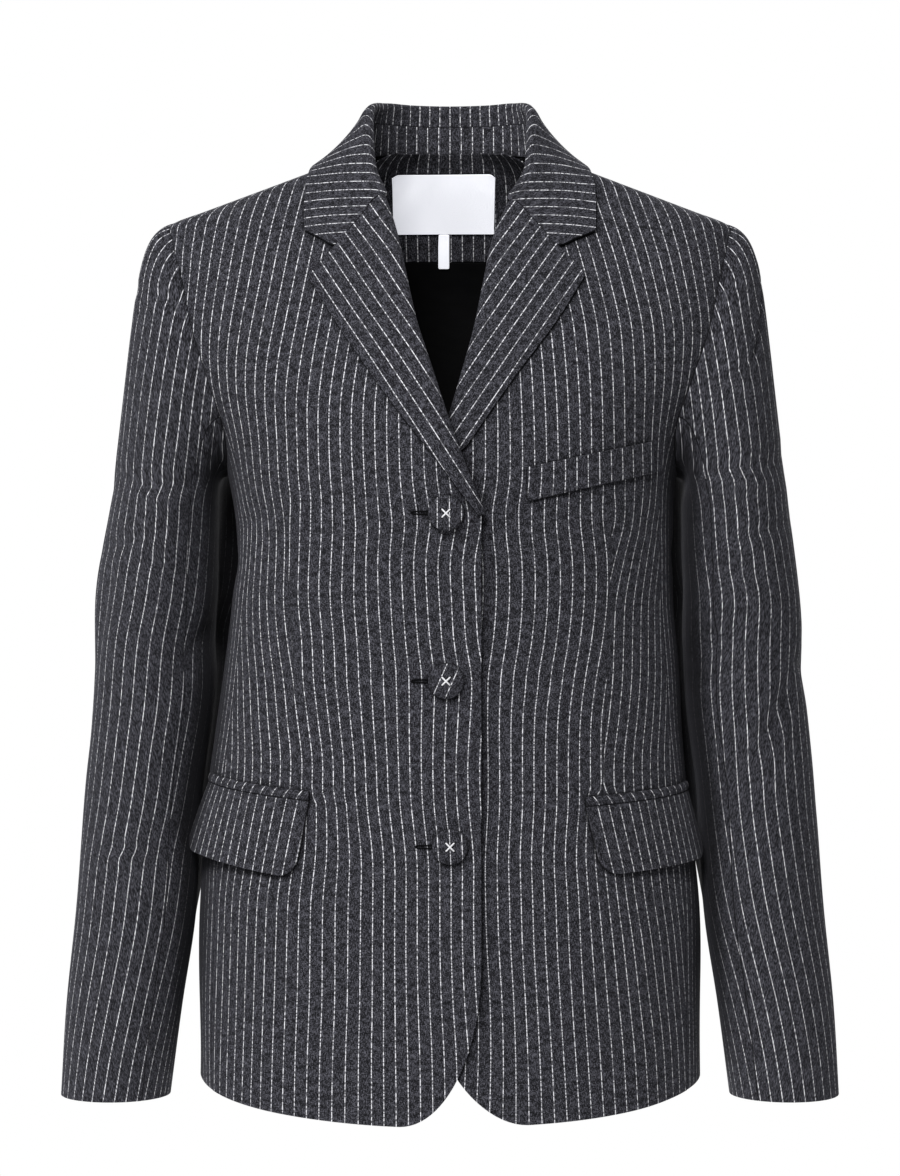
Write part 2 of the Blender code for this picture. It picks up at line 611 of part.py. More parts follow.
def sleeve_section(side, turn, z):
    """A level section of the arm, moved in or out by the folds."""
    sizes = {name: at_height(z, SLEEVE, name) for name in SleeveSection._fields[1:]}
    c, s = np.cos(np.radians(turn)), np.sin(np.radians(turn))
    depth = fold_depth(side, turn, z)
    behind = np.clip(-s, 0.0, 1.0)
    tuck = sizes["tuck"] * (TUCK_SPREAD * behind + (1 - TUCK_SPREAD) * behind**2)
    x = sizes["mid_x"] + (sizes["half_width"] + depth) * c - tuck
    y = sizes["mid_y"] - (sizes["half_depth"] + depth) * s
    return np.stack(np.broadcast_arrays(SIDES[side] * x, y, z), axis=-1)


def sleeve_points(side, turns, detail=1):
    """A sleeve's tube: the cap bends from the armhole to the first section, and the arm hangs from there."""
    sign = SIDES[side]
    top = np.cos(np.radians(turns) / 2)[:, None] ** 2
    hole_angle, hole_z = armhole(turns)
    start = body(sign * hole_angle, hole_z)
    end = sleeve_section(side, turns, np.full(len(turns), SLEEVE[0].z))
    lean = np.sin(np.radians(turns))
    push = unit(np.stack([sign + 0 * lean, -CAP_LEAN * lean, -CAP_DROP + 0 * lean], axis=-1))
    start = start + push * 3 * SEAM
    first = start + push * CAP_PUSH * (CAP_LOW + (1 - CAP_LOW) * top)
    rise = (start[:, 2:] - end[:, 2:]) * (CAP_LOW + (CAP_RISE - CAP_LOW) * top)
    second = end + np.concatenate([-sign * CAP_SPREAD * top, 0 * top, rise], axis=1)
    t = between(0.0, 1.0, CAP_STEPS * detail)[:, None, None]
    cap = (1 - t) ** 3 * start + 3 * t * (1 - t) ** 2 * first + 3 * t**2 * (1 - t) * second + t**3 * end
    z = between(SLEEVE[0].z, SLEEVE[-1].z, ARM_STEPS * detail)[1:, None]
    return np.concatenate([cap, sleeve_section(side, turns[None, :], z)])


def flap_grid(side, detail=1):
    """A pocket flap with rounded lower corners, whose foot stands off towards the side."""
    flap = FLAP[side]
    share = (1 - np.cos(np.pi * between(0.0, 1.0, 8 * detail))) / 2
    down = between(0.0, 1.0, 3 * detail)[:, None]
    width, height = FLAP_SIZE
    near_end = np.minimum(np.minimum(share, 1 - share) * width, FLAP_CORNER) / FLAP_CORNER
    down = down * (1 - FLAP_CORNER / height * (1 - np.sqrt(1 - (1 - near_end) ** 2)))
    top_angle = angle_at(flap.in_x, flap.in_top_z) * (1 - share) + flap.out_angle * share
    foot_angle = angle_at(flap.in_foot_x, flap.in_foot_z) * (1 - share) + flap.out_foot_angle * share
    top_z = flap.in_top_z * (1 - share) + flap.out_top_z * share
    foot_z = flap.in_foot_z * (1 - share) + flap.out_foot_z * share
    angle = SIDES[side] * (top_angle + (foot_angle - top_angle) * down)
    lift = FLAP_LIFT + down * (FLAP_SAG + flap.flare * share**FLARE_POWER)
    return angle, top_z + (foot_z - top_z) * down, lift


def jet_grid(side, detail=1):
    """The piped strip above a flap."""
    flap = FLAP[side]
    share = between(0.0, 1.0, 8 * detail)
    angle = angle_at(flap.in_x, flap.in_top_z) * (1 - share) + flap.out_angle * share
    foot = flap.in_top_z * (1 - share) + flap.out_top_z * share + 2 * SEAM
    return SIDES[side] * angle, foot + between(0.0, 1.0, detail)[:, None] * JET_HEIGHT, FLAP_LIFT


def welt_grid(detail=1):
    """The slanted breast welt on the left front."""
    share = between(0.0, 1.0, 6 * detail)
    rise = between(0.0, 1.0, 2 * detail)[:, None]
    x = WELT.in_x + (WELT.out_x - WELT.in_x) * share
    foot = WELT.in_foot_z + (WELT.out_foot_z - WELT.in_foot_z) * share
    head = WELT.in_top_z + (WELT.out_top_z - WELT.in_top_z) * share
    z = foot + (head - foot) * rise
    return angle_at(x + 0 * z, z), z, FLAP_LIFT + LAYER


def inside_back(z_from, z_to, steps_up, steps_across):
    """A piece of the back's inner skin, from one height to another or up to the neck seam."""
    angle = 180.0 + between(-FACING_ANGLE, FACING_ANGLE, steps_across)
    behind = 1 - np.abs(angle - 180.0) / 90.0
    neck_z = BACK_NECK_Z + (NECK_POINT_Z - BACK_NECK_Z) * (1 - behind) ** 2 - 2 * SEAM
    head = neck_z if z_to is None else z_to + 0 * angle
    rise = between(0.0, 1.0, steps_up)[:, None]
    return angle + 0 * rise, z_from + (head - z_from) * rise


def inside_box(box, steps_up, steps_across):
    """A small flat piece on the back's inside, by its x and z limits."""
    x = between(box[0], box[1], steps_across) + 0 * between(0.0, 1.0, steps_up)[:, None]
    z = between(box[2], box[3], steps_up)[:, None] + 0 * x
    return 180.0 - angle_at(x, z), z


# Solids


def material(name, look):
    colour, roughness = look
    made = bpy.data.materials.new(name)
    made.use_nodes = True
    shader = made.node_tree.nodes["Principled BSDF"]
    shader.inputs["Base Color"].default_value = (*colour, 1.0)
    shader.inputs["Roughness"].default_value = roughness
    shader.inputs["Metallic"].default_value = 0.0
    return made


def triangles(quads, points):
    """Splits quads along their shorter diagonals."""
    a, b, c, d = quads.T
    short = np.linalg.norm(points[a] - points[c], axis=1) <= np.linalg.norm(points[b] - points[d], axis=1)
    one = np.where(short, [a, b, c], [a, b, d])
    two = np.where(short, [a, c, d], [b, c, d])
    return np.concatenate([one.T, two.T])


def wall(name, face, back, look, collection):
    """A closed wall lofted between its two faces, so that pieces meet squarely at a seam."""
    rows, columns = face.shape[:2]
    index = np.arange(rows * columns).reshape(rows, columns)
    points = np.concatenate([face.reshape(-1, 3), back.reshape(-1, 3)])
    quads = np.stack([index[:-1, :-1], index[:-1, 1:], index[1:, 1:], index[1:, :-1]], axis=-1).reshape(-1, 4)
    outside = triangles(quads, points)
    rim = np.concatenate([index[0], index[1:, -1], index[-1, -2::-1], index[-2:0:-1, 0]])
    ahead = np.roll(rim, -1)
    edges = np.stack([rim, rim + rows * columns, ahead + rows * columns, ahead], axis=-1)
    faces = np.concatenate([outside, outside[:, ::-1] + rows * columns, triangles(edges, points)])
    a, b, c = points[faces].swapaxes(0, 1)
    if np.sum(a * np.cross(b, c)) < 0:
        faces = faces[:, ::-1]
    mesh = bpy.data.meshes.new(name)
    mesh.from_pydata(points.tolist(), [], faces.tolist())
    mesh.shade_smooth()
    mesh.set_sharp_from_angle(angle=np.radians(SHARP_ANGLE))
    made = bpy.data.objects.new(name, mesh)
    made.data.materials.append(material(name, look))
    collection.objects.link(made)
    return made


def form_wall(name, grid, look, collection, thickness=WALL, sunk=0.0):
    """A wall on the form, its outer face at the grid's lift less sunk."""
    angle, z, lift = grid
    return wall(name, body(angle, z, lift - sunk), body(angle, z, lift - sunk - thickness), look, collection)


def free_wall(name, face, flip, look, collection):
    """A wall behind a face that leaves the form."""
    return wall(name, face, face - normals(face, flip) * WALL, look, collection)


def build_body(collection):
    for side in SIDES:
        form_wall(f"front_{side}", front_grid(side), FLANNEL, collection)
        form_wall(f"side_{side}", side_grid(side), FLANNEL, collection)
        form_wall(f"back_{side}", back_grid(side), FLANNEL, collection)


def build_neck(collection):
    for side, sign in SIDES.items():
        free_wall(f"lapel_{side}", lapel_points(side), sign, FLANNEL, collection)
    free_wall("collar", collar_points(), -1.0, FLANNEL, collection)
    free_wall("collar_stand", stand_points(), -1.0, FLANNEL, collection)
    facing = (*inside_back(FACING_FOOT_Z, None, 3, 14), 0.0)
    lining = (*inside_back(LINING_FOOT_Z, FACING_FOOT_Z - 2 * SEAM, 12, 10), 0.0)
    skin = WALL + EASE
    form_wall("back_neck_facing", facing, FLANNEL, collection, LINING_WALL, skin)
    form_wall("back_lining", lining, LINING, collection, LINING_WALL, skin)
    skin += LINING_WALL + 3 * LAYER
    form_wall("neck_label", (*inside_box(LABEL_BOX, 3, 5), 0.0), LABEL, collection, LABEL_WALL, skin)
    form_wall("size_tab", (*inside_box(TAB_BOX, 3, 1), 0.0), LABEL, collection, LABEL_WALL, skin)


def build_sleeves(collection):
    front, under, back = armhole_turns()
    turns = np.concatenate([front, under[1:], back[1:]])
    first, last = len(front) - 1, len(front) + len(under) - 2
    for side, sign in SIDES.items():
        tube = sleeve_points(side, turns)
        wrapped = np.concatenate([tube[:, -2:-1], tube, tube[:, 1:2]], axis=1)
        inner = tube - normals(wrapped, sign)[:, 1:-1] * WALL
        under_faces = []
        top_faces = []
        for skin in (tube, inner):
            under_faces.append(trim(skin[:, first : last + 1]))
            top_faces.append(trim(np.concatenate([skin[:, last:-1], skin[:, : first + 1]], axis=1)))
        wall(f"under_sleeve_{side}", *under_faces, FLANNEL, collection)
        wall(f"top_sleeve_{side}", *top_faces, FLANNEL, collection)


def trim(points):
    """Draws a grid's first and last column in by the seam's half gap."""
    for end, inside in ((0, 1), (-1, -2)):
        points[:, end] += unit(points[:, inside] - points[:, end]) * SEAM
    return points


def build_pockets(collection):
    form_wall("breast_welt", welt_grid(), FLANNEL, collection)
    for side in SIDES:
        form_wall(f"pocket_jet_{side}", jet_grid(side), FLANNEL, collection)
        form_wall(f"pocket_flap_{side}", flap_grid(side), FLANNEL, collection)


def build_buttons(collection):
    """Cloth-covered buttons: a domed disc turned about its own axis, set square to the front."""
    for number, place in enumerate(BUTTONS, start=1):
        name = f"button_{number}"
        profile = [(point.out * BUTTON_RADIUS, 0.0, point.up * BUTTON_HEIGHT) for point in BUTTON_PROFILE]
        mesh = bpy.data.meshes.new(name)
        mesh.from_pydata(profile, [(i, i + 1) for i in range(len(profile) - 1)], [])
        made = bpy.data.objects.new(name, mesh)
        turned = made.modifiers.new("turned", "SCREW")
        turned.steps = turned.render_steps = BUTTON_SIDES
        turned.use_merge_vertices = True
        turned.merge_threshold = 0.00001
        turned.use_smooth_shade = True
        seat = on_front(np.array(place.x), np.array(place.z), "right", place.seat)
        normal = on_front(np.array(place.x), np.array(place.z), "right", 0.01) - seat
        made.location = seat
        made.rotation_euler = Vector(normal).to_track_quat("Z", "Y").to_euler()
        made.data.materials.append(material(name, FLANNEL))
        collection.objects.link(made)


def main():
    for old in list(bpy.data.objects):
        bpy.data.objects.remove(old)
    collection = bpy.data.collections.new(COLLECTION)
    bpy.context.scene.collection.children.link(collection)
    build_body(collection)
    build_neck(collection)
    build_sleeves(collection)
    build_pockets(collection)
    build_buttons(collection)


main()
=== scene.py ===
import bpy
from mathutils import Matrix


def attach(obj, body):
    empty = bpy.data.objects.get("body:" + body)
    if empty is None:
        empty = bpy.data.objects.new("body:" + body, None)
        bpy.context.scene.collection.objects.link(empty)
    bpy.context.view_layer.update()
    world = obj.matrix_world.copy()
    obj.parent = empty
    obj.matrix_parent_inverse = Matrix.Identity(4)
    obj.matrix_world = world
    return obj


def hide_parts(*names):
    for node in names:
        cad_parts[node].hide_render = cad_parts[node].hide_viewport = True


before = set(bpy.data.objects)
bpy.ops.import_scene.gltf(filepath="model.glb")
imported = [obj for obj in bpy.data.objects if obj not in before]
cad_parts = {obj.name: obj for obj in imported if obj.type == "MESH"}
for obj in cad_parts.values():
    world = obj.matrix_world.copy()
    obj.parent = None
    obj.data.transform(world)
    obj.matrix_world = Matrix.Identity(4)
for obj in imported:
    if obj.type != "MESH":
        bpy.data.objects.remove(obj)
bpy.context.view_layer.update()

# %% [markdown]
# # A single breasted blazer in pinstriped flannel
#
# A tailored jacket is flat cloth made round by its cut. Fronts, side panels and backs are joined by seams,
# darts take the cloth in at the waist, and the collar and lapels are folded back over the fronts. Here it
# stands as if worn, with nobody in it, so each piece is a thin shell with a real inside.
#
# Every shell is worked out with numpy as a grid of points, and every grid point also gets its place on the
# flat cloth. The pinstripes are drawn from that place, so they bend, lean and end on seams as woven ones do.

# %% Modules and the names of the two sides
from collections import namedtuple

import bpy
import numpy as np
from mathutils import Vector

SIDES = {"right": -1.0, "left": 1.0}  # the wearer's sides, and the way that X points there
MM = 0.001

# %% [markdown]
# ## Reading short tables smoothly
#
# A tailor writes a few measures and lets the curve run between them. The tables below do the same: each row
# is a height or a place in millimetres, each column a measure, and a cubic curve with slopes taken from the
# neighbours reads the values between the rows. That keeps the cloth free of corners, with little data.

# %% Tables and the curves through them
def rows_of(names, *rows, plain=""):
    """A table: the names of its columns, then its rows in millimetres, which become metres.

    Plain columns, such as degrees and shares, are taken as they stand.
    """
    row = namedtuple("row", names)
    units = [1.0 if name in plain.split() else MM for name in row._fields]
    return tuple(row(*(round(value * unit, 7) for value, unit in zip(values, units))) for values in rows)


def by_side(names, right, left, plain=""):
    """A table with one row for each of the wearer's sides."""
    return dict(zip(SIDES, rows_of(names, right, left, plain=plain)))


def table(rows, column):
    """One named column of a table, as an array."""
    return np.array([getattr(row, column) for row in rows])


def smooth(at, xs, ys):
    """Reads a smooth curve through points at rising xs: cubics whose slopes come from the neighbours."""
    slope = np.gradient(ys, xs, axis=0)
    i = np.clip(np.searchsorted(xs, at, side="right") - 1, 0, len(xs) - 2)
    width = xs[i + 1] - xs[i]
    t = np.clip((at - xs[i]) / width, 0.0, 1.0)
    spare = (1,) * (ys.ndim - 1)
    width, t = width.reshape(width.shape + spare), t.reshape(t.shape + spare)
    return (
        (2 * t**3 - 3 * t**2 + 1) * ys[i]
        + (t**3 - 2 * t**2 + t) * width * slope[i]
        + (3 * t**2 - 2 * t**3) * ys[i + 1]
        + (t**3 - t**2) * width * slope[i + 1]
    )


def at_height(z, rows, column):
    """A column of a table whose rows go down, read at the heights z."""
    return smooth(-np.asarray(z, float), -table(rows, "z"), table(rows, column))


def blend(a, b, share):
    """From a to b by a share."""
    return a * (1 - share) + b * share


def once_round(steps):
    return np.linspace(0, 2 * np.pi, steps, endpoint=False)


def step(a, b, x):
    """0 below a, 1 above b, and smooth between."""
    t = np.clip((x - a) / (b - a), 0.0, 1.0)
    return t * t * (3 - 2 * t)


def between(a, b, steps):
    return np.linspace(a, b, steps + 1)


def run_along(points, axis=0):
    """Length from a grid's first point to each further one, along one of its axes."""
    steps = np.linalg.norm(np.diff(points, axis=axis), axis=-1)
    return np.cumsum(np.insert(steps, 0, 0.0, axis=axis), axis=axis)


def chain(*runs):
    """Joins runs of (angle, z) points whose ends meet into one line."""
    runs = [np.stack(np.broadcast_arrays(*run), axis=-1) for run in runs]
    return np.concatenate([runs[0]] + [run[1:] for run in runs[1:]])


def unit(vectors):
    return vectors / np.linalg.norm(vectors, axis=-1, keepdims=True)


def resample(points, steps, axis=1):
    """Puts more points on a grid: smooth curves through its points along one axis, `steps` to an interval.

    The curve's parameter is the running length between the points, averaged over the grid's other axis.
    """
    moved = np.moveaxis(points, axis, 0)
    chords = np.linalg.norm(np.diff(moved, axis=0), axis=-1).mean(axis=1)
    run = np.cumsum(np.insert(chords, 0, 0.0))
    index = between(0.0, len(run) - 1.0, steps * (len(run) - 1))
    return np.moveaxis(smooth(np.interp(index, np.arange(len(run)), run), run, moved), 0, axis)


# %% [markdown]
# ## The form under the cloth
#
# All body pieces lie on one form: a stack of level sections, each a superellipse with its own half widths
# and depths. A place on it is an angle round the body (0 at the centre front, 90 at the side, 180 behind,
# negative on the wearer's right) and a height. One form for all pieces keeps every seam closed.

# %% The form's measures
WALL = 0.0018  # wool flannel with its interlining
LINING_WALL = 0.0010
LABEL_WALL = 0.0010
SEAM = 0.0002  # half the gap left between two pieces that are sewn together
SHOULDER_SEAM_ANGLE = 0.12  # the same, as an angle of the form on the shoulder ridge
CENTRE_SEAM_ANGLE = 0.03  # and at the centre back
LAYER = 0.0004  # air between two layers that lie on each other
EASE = 0.0016  # air between the back and the looser skin inside it
ROUNDNESS = 2.4  # exponent of the body's superellipse sections
NORMAL_TURN, NORMAL_RISE = 1.0, 0.0015  # steps round and up the form between which its normal is taken
# The body's level sections: height, half width on each side of the wearer, depth to the front and back
BODY = rows_of(
    "z right left front back",
    (24, 29.6, 29.6, 10, 56),
    (16, 50.6, 50.6, 13, 62),
    (7.5, 72.8, 72.8, 18, 69),
    (-5, 105.6, 105.6, 27, 77),
    (-21, 147.4, 147.4, 38, 87),
    (-32, 176.2, 176.2, 46, 93),
    (-40.3, 198, 198, 52, 97),
    (-55, 204.5, 204.5, 62, 103),
    (-80, 206, 206, 82, 111),
    (-122, 202.5, 202.5, 103, 119),
    (-155, 189, 189, 116.5, 121.5),
    (-192, 169, 169, 125.5, 119),
    (-222, 160, 161.5, 128.5, 114),
    (-270, 153, 160, 127, 103),
    (-311, 156.5, 160.5, 124.5, 99),
    (-358, 162, 164.5, 123.5, 103),
    (-405, 168.2, 167.2, 124.5, 111),
    (-440, 173, 170.5, 125.5, 116),
    (-527, 178.5, 178, 128, 124),
    (-600, 179.5, 179.5, 129.5, 127),
    (-690, 180, 180, 130, 128),
)

# Neck, shoulders and armholes
NECK_POINT_Z = 0.0075  # where the shoulder seam meets the collar
BACK_NECK_Z = 0.0160
FRONT_NECK_POWER = 1.6  # how much the neck seam hollows in front
FRONT_NECK_DROP = 0.0040  # the front's neck edge lies this much below the collar's, hidden by the collar
ARMHOLE_MID_Z = -0.1311
ARMHOLE_HALF_HEIGHT = 0.0908
ARMHOLE_HALF_ANGLE = 29.0
SIDE_FRONT_SEAM = 66.0  # angles of the seams that bound the side panel
SIDE_BACK_SEAM = 115.0

# Hem and front edges
HEM_SIDE_Z = -0.6500
HEM_FRONT_DROP = 0.0220  # the fronts hang this much lower than the sides
HEM_POWER = 1.5  # how quickly the hem rises from the front to the sides
FRONT_EDGE = by_side(
    "edge_x corner_x corner_width corner_height corner_power",
    (21.2, -34.5, 55.7, 110, 2),
    (-19, 53.5, 72.5, 112, 1.9),
    plain="corner_power",
)
OVERLAP_LIFT = 0.0034  # the right front over the left front
CROSSING_LIFT = 0.0085  # and over the left lapel, above the break
CROSSING_Z = (-0.285, -0.245)  # between these heights the lift grows
OVERLAP_X = (-0.100, 0.0)  # and between these widths it starts

# The line that each lapel rolls on, from below the neck down to its break
ROLL = rows_of(
    "z right left",
    (-30, -47, 43),
    (-55, -40, 33.2),
    (-90, -32.2, 25.7),
    (-122, -25, 19.2),
    (-155, -14.3, 10.2),
    (-192, -2.1, -0.7),
    (-222, 9.2, -10.4),
    (-252, 21.2, -19),
)


# %% [markdown]
# ## Creases and soft unevenness
#
# Worn wool never lies quite smooth. It draws towards a fastened button, breaks into short level folds at the
# waist and behind the arms, and hangs in long shallow waves to the hem. Each crease is given as one
# row: a soft trough or ridge with its own tilt, length and width. A few seeded waves add what has no name.

# %% Creases of the body
CREASES = rows_of(
    "angle z tilt length width depth",
    # fronts: pulls at the waist and towards the buttons, and waves to the hem
    (-62, -253, 9, 50, 7, -1.8),
    (-60, -266, -12, 60, 9, -1.4),
    (-36, -290, -34, 110, 13, -1.2),
    (-20, -249, 6, 70, 8, -0.8),
    (-20, -368, -5, 75, 8, -0.8),
    (15, -256, 14, 60, 8, -0.8),
    (17, -372, 10, 60, 8, -0.8),
    (60, -257, -9, 55, 8, -1.7),
    (57, -276, 16, 60, 10, -1.2),
    (-18, -530, 82, 150, 16, 1.3),
    (-44, -580, 97, 150, 20, 1.6),
    (20, -565, 96, 160, 18, 1.3),
    (47, -575, 84, 150, 20, 1.6),
    (-30, -180, 60, 120, 20, 1),
    (30, -178, 118, 120, 20, 1),
    # sides and backs: breaks at the waist, drapes behind the arms, waves to the hem
    (96, -275, 4, 70, 11, -2),
    (-93, -284, -5, 70, 11, -2),
    (146, -262, 9, 100, 11, -2.6),
    (-143, -270, -10, 110, 11, -2.6),
    (160, -298, -6, 110, 12, -2),
    (-158, -304, 8, 90, 12, -1.8),
    (171, -238, 4, 80, 12, -1.2),
    (128, -150, 78, 130, 13, -2.8),
    (-127, -154, 101, 130, 13, -2.8),
    (143, -125, 72, 110, 15, 1.6),
    (-142, -130, 107, 120, 15, 1.6),
    (150, -550, 86, 190, 23, 2.2),
    (-147, -545, 95, 180, 23, 2.2),
    (172, -470, 88, 160, 15, -1.2),
    (-124, -590, 88, 140, 18, -1.4),
    (125, -585, 94, 140, 18, -1.4),
    plain="angle tilt",
)
CREASE_RADIUS = 0.150  # mean radius of the body, to measure a crease's run round it
WAVE_SEED, WAVE_COUNT, WAVE_DEPTH = 7, 9, 0.00022
WAVE_TURNS, WAVE_RISE, WAVE_PHASE = (2, 9), (10.0, 45.0), (0.0, 6.28)  # whole turns, radians a metre, radians


def crease_depth(creases, radius, angle, z):
    """Soft troughs and ridges, added up.

    Each is its depth times a bell curve across it, exp(-(across / width) ** 2), times one along it,
    exp(-(2 * along / length) ** 2), with `along` and `across` measured on the cloth and turned by its tilt.
    """
    total = 0.0 * (angle + z)
    for crease in creases:
        round_by = np.radians((angle - crease.angle + 180.0) % 360.0 - 180.0) * radius
        tilt = np.radians(crease.tilt)
        along = round_by * np.cos(tilt) + (z - crease.z) * np.sin(tilt)
        across = (z - crease.z) * np.cos(tilt) - round_by * np.sin(tilt)
        total += crease.depth * np.exp(-((across / crease.width) ** 2) - (2 * along / crease.length) ** 2)
    return total


def waves(angle, z):
    """Shallow waves: sines with whole turns round the body and seeded lengths up it."""
    random = np.random.default_rng(WAVE_SEED)
    total = 0.0 * (angle + z)
    for _ in range(WAVE_COUNT):
        turns, rise = random.integers(*WAVE_TURNS), random.uniform(*WAVE_RISE)
        phase = random.uniform(*WAVE_PHASE)
        total += WAVE_DEPTH * np.sin(np.radians(turns * angle) + rise * z + phase)
    return total


def relief(angle, z):
    return crease_depth(CREASES, CREASE_RADIUS, angle, z) + waves(angle, z)


print(len(CREASES), "creases on the body")

# %% [markdown]
# ## Points on the form
#
# The cloth sits on the form, moved out along its normal: by nothing for a panel, by a layer or two for what
# lies on it. The creases are added in this one place, so a flap, a button or a lapel follows the panel
# beneath it.

# %% Points on the form
def half_width(angle, z):
    """The form's half width at a height, on the side that the angle lies on."""
    return np.where(angle < 0, at_height(z, BODY, "right"), at_height(z, BODY, "left"))


def on_form(angle, z):
    """Points of the form: superellipse sections with their own depths in front and behind."""
    turn = np.radians(angle)
    s, c = np.sin(turn), np.cos(turn)
    depth = np.where(c > 0, -at_height(z, BODY, "front"), at_height(z, BODY, "back"))
    power = 2 / ROUNDNESS
    x = np.sign(s) * half_width(s, z) * np.abs(s) ** power
    return np.stack([x, depth * np.abs(c) ** power, z + 0 * x], axis=-1)


def body(angle, z, lift=0.0):
    """Points of the form, moved out along its normal by lift and by the creases."""
    angle, z, lift = np.broadcast_arrays(*(np.asarray(a, float) for a in (angle, z, lift)))
    across = on_form(angle + NORMAL_TURN, z) - on_form(angle - NORMAL_TURN, z)
    up = on_form(angle, z + NORMAL_RISE) - on_form(angle, z - NORMAL_RISE)
    return on_form(angle, z) + unit(np.cross(across, up)) * (lift + relief(angle, z))[..., None]


def angle_at(x, z):
    """The front angle at which the form's section reaches x."""
    share = np.clip(np.abs(x) / half_width(np.asarray(x, float), z), 0.0, 1.0)
    return np.sign(x) * np.degrees(np.arcsin(share ** (ROUNDNESS / 2)))


print("half width of the form at the armholes", round(float(half_width(1.0, ARMHOLE_MID_Z)), 3), "m")

# %% Hem, armhole, roll line and neck seam
def hem_z(angle):
    """The hem's height round the body, lower in front."""
    return HEM_SIDE_Z - HEM_FRONT_DROP * np.clip(np.cos(np.radians(angle)), 0, 1) ** HEM_POWER


def armhole(turn):
    """The armhole seam as angle and height: an oval on the form, turn 0 at its top and 90 in front."""
    turn = np.radians(turn)
    return 90.0 - ARMHOLE_HALF_ANGLE * np.sin(turn), ARMHOLE_MID_Z + ARMHOLE_HALF_HEIGHT * np.cos(turn)


def armhole_turn(angle):
    """The turn at which the armhole's lower half reaches that angle of the form."""
    return 180.0 - np.degrees(np.arcsin((90.0 - angle) / ARMHOLE_HALF_ANGLE))


def armhole_turns():
    """The turns at which the armhole's pieces and the sleeve have their points, once round."""
    low, high = armhole_turn(SIDE_FRONT_SEAM), armhole_turn(SIDE_BACK_SEAM)
    return between(0.0, low, ARC_STEPS), between(low, high, UNDER_STEPS), between(high, 360.0, ARC_STEPS)


def roll_x(z, side):
    return at_height(z, ROLL, side)


def roll_heights(steps):
    return between(ROLL[-1].z, ROLL[0].z, steps)


def neckline(side, t):
    """Angle and height of the neck seam: t 0 at the centre back, 1 at the neck point, 2 at the gorge."""
    behind, ahead = np.clip(t, 0, 1), np.clip(t - 1, 0, 1) ** FRONT_NECK_POWER
    point_x = abs(float(half_width(1.0, NECK_POINT_Z)))
    gorge_x = abs(getattr(ROLL[0], side))
    ahead_z = NECK_POINT_Z + (ROLL[0].z - NECK_POINT_Z) * ahead
    ahead_angle = angle_at(point_x + (gorge_x - point_x) * ahead, ahead_z)
    angle = np.where(t <= 1, 180.0 - 90.0 * behind, np.minimum(ahead_angle, 90.0 - SHOULDER_SEAM_ANGLE))
    z = np.where(t <= 1, BACK_NECK_Z + (NECK_POINT_Z - BACK_NECK_Z) * behind**2, ahead_z)
    return SIDES[side] * angle, z


def front_lift(x, z, side):
    """The right front lies over the left one, and higher where it crosses the left lapel."""
    if side == "left":
        return 0.0 * x
    height = OVERLAP_LIFT + (CROSSING_LIFT - OVERLAP_LIFT) * step(*CROSSING_Z, z)
    return height * step(*OVERLAP_X, x)


def on_front(x, z, side, lift=0.0):
    """Points on a front's outer face, by x and z, moved out by lift."""
    return body(angle_at(x, z), z, front_lift(x, z, side) + lift)


ARC_SAMPLES = 40


def arc(angle, z):
    """Length along the form's level section from the centre front, with the angle's sign."""
    t = np.linspace(0.0, 1.0, ARC_SAMPLES).reshape(-1, *([1] * np.ndim(angle + z)))
    points = on_form(angle * t, z + 0 * t)
    return np.sign(angle) * np.linalg.norm(np.diff(points, axis=0), axis=-1).sum(axis=0)


print("half girth at the waist", round(float(arc(180.0, np.array(-0.27))), 3), "m")

# %% [markdown]
# ## Flannel as it is woven
#
# Wool flannel is spun from fibres dyed in several greys, woven as a twill and then milled, which raises a
# short nap that hides the weave. What the eye gets is a soft matt charcoal with a fine speckle, a faint
# bloom at glancing angles, and pinstripes. Each stripe is a single pale yarn that bobs over and under, so it
# looks like a row of beads. An image could hold this, but a node pattern stays sharp at any distance.

# %% Helpers for materials
STRIPE_PITCH = 8.3 * MM  # from one pinstripe to the next
STRIPE_HALF = 0.32 * MM  # half a stripe's width, with its fuzz; the yarn alone is finer
BEAD = 1.7 * MM  # a pale yarn shows between its crossings for about this long
FIBRE = 0.85 * MM  # size of the speckle; single fibres are too fine to show, so it is drawn coarser
LEAST_SPREAD = 0.15  # keeps a stripe from growing without end where its count hardly changes
BLEND = 5.0 * MM  # size of the cloudier patches in the blend
SLACK = 24.0 * MM  # size of the slack places, too slight for a crease of their own
CREVICE = 30.0 * MM  # painted shade darkens the cloth in hollows narrower than this
SEWN_HALF = 1.0 * MM  # a seam draws the cloth in this far to each side of it, and its painted shade reaches as far
TWILL = 1.1 * MM  # the twill's diagonal lines, drawn coarser than the real 0.6 mm
TURN = 6.2832  # radians


def colour(code):
    """An sRGB hex code turned to linear red, green, blue and alpha."""
    channels = np.array([int(code[i : i + 2], 16) for i in (1, 3, 5)]) / 255.0
    linear = np.where(channels <= 0.04045, channels / 12.92, ((channels + 0.055) / 1.055) ** 2.4)
    return (*linear.tolist(), 1.0)


def new_material(name, base, roughness, **settings):
    """A Principled material whose constant values are set on the shader's own sockets."""
    made = bpy.data.materials.new(name)
    made.use_nodes = True
    shader = made.node_tree.nodes["Principled BSDF"]
    shader.inputs["Base Color"].default_value = colour(base)
    shader.inputs["Roughness"].default_value = roughness
    for socket, value in settings.items():
        shader.inputs[socket.replace("_", " ")].default_value = value
    return made, shader


def add(tree, kind, links=None, values=None, **settings):
    """Adds a node with its settings, constant inputs and links into its inputs."""
    made = tree.nodes.new(kind)
    for key, value in settings.items():
        setattr(made, key, value)
    for socket, value in (values or {}).items():
        made.inputs[socket].default_value = value
    for socket, source in (links or {}).items():
        tree.links.new(source, made.inputs[socket])
    return made


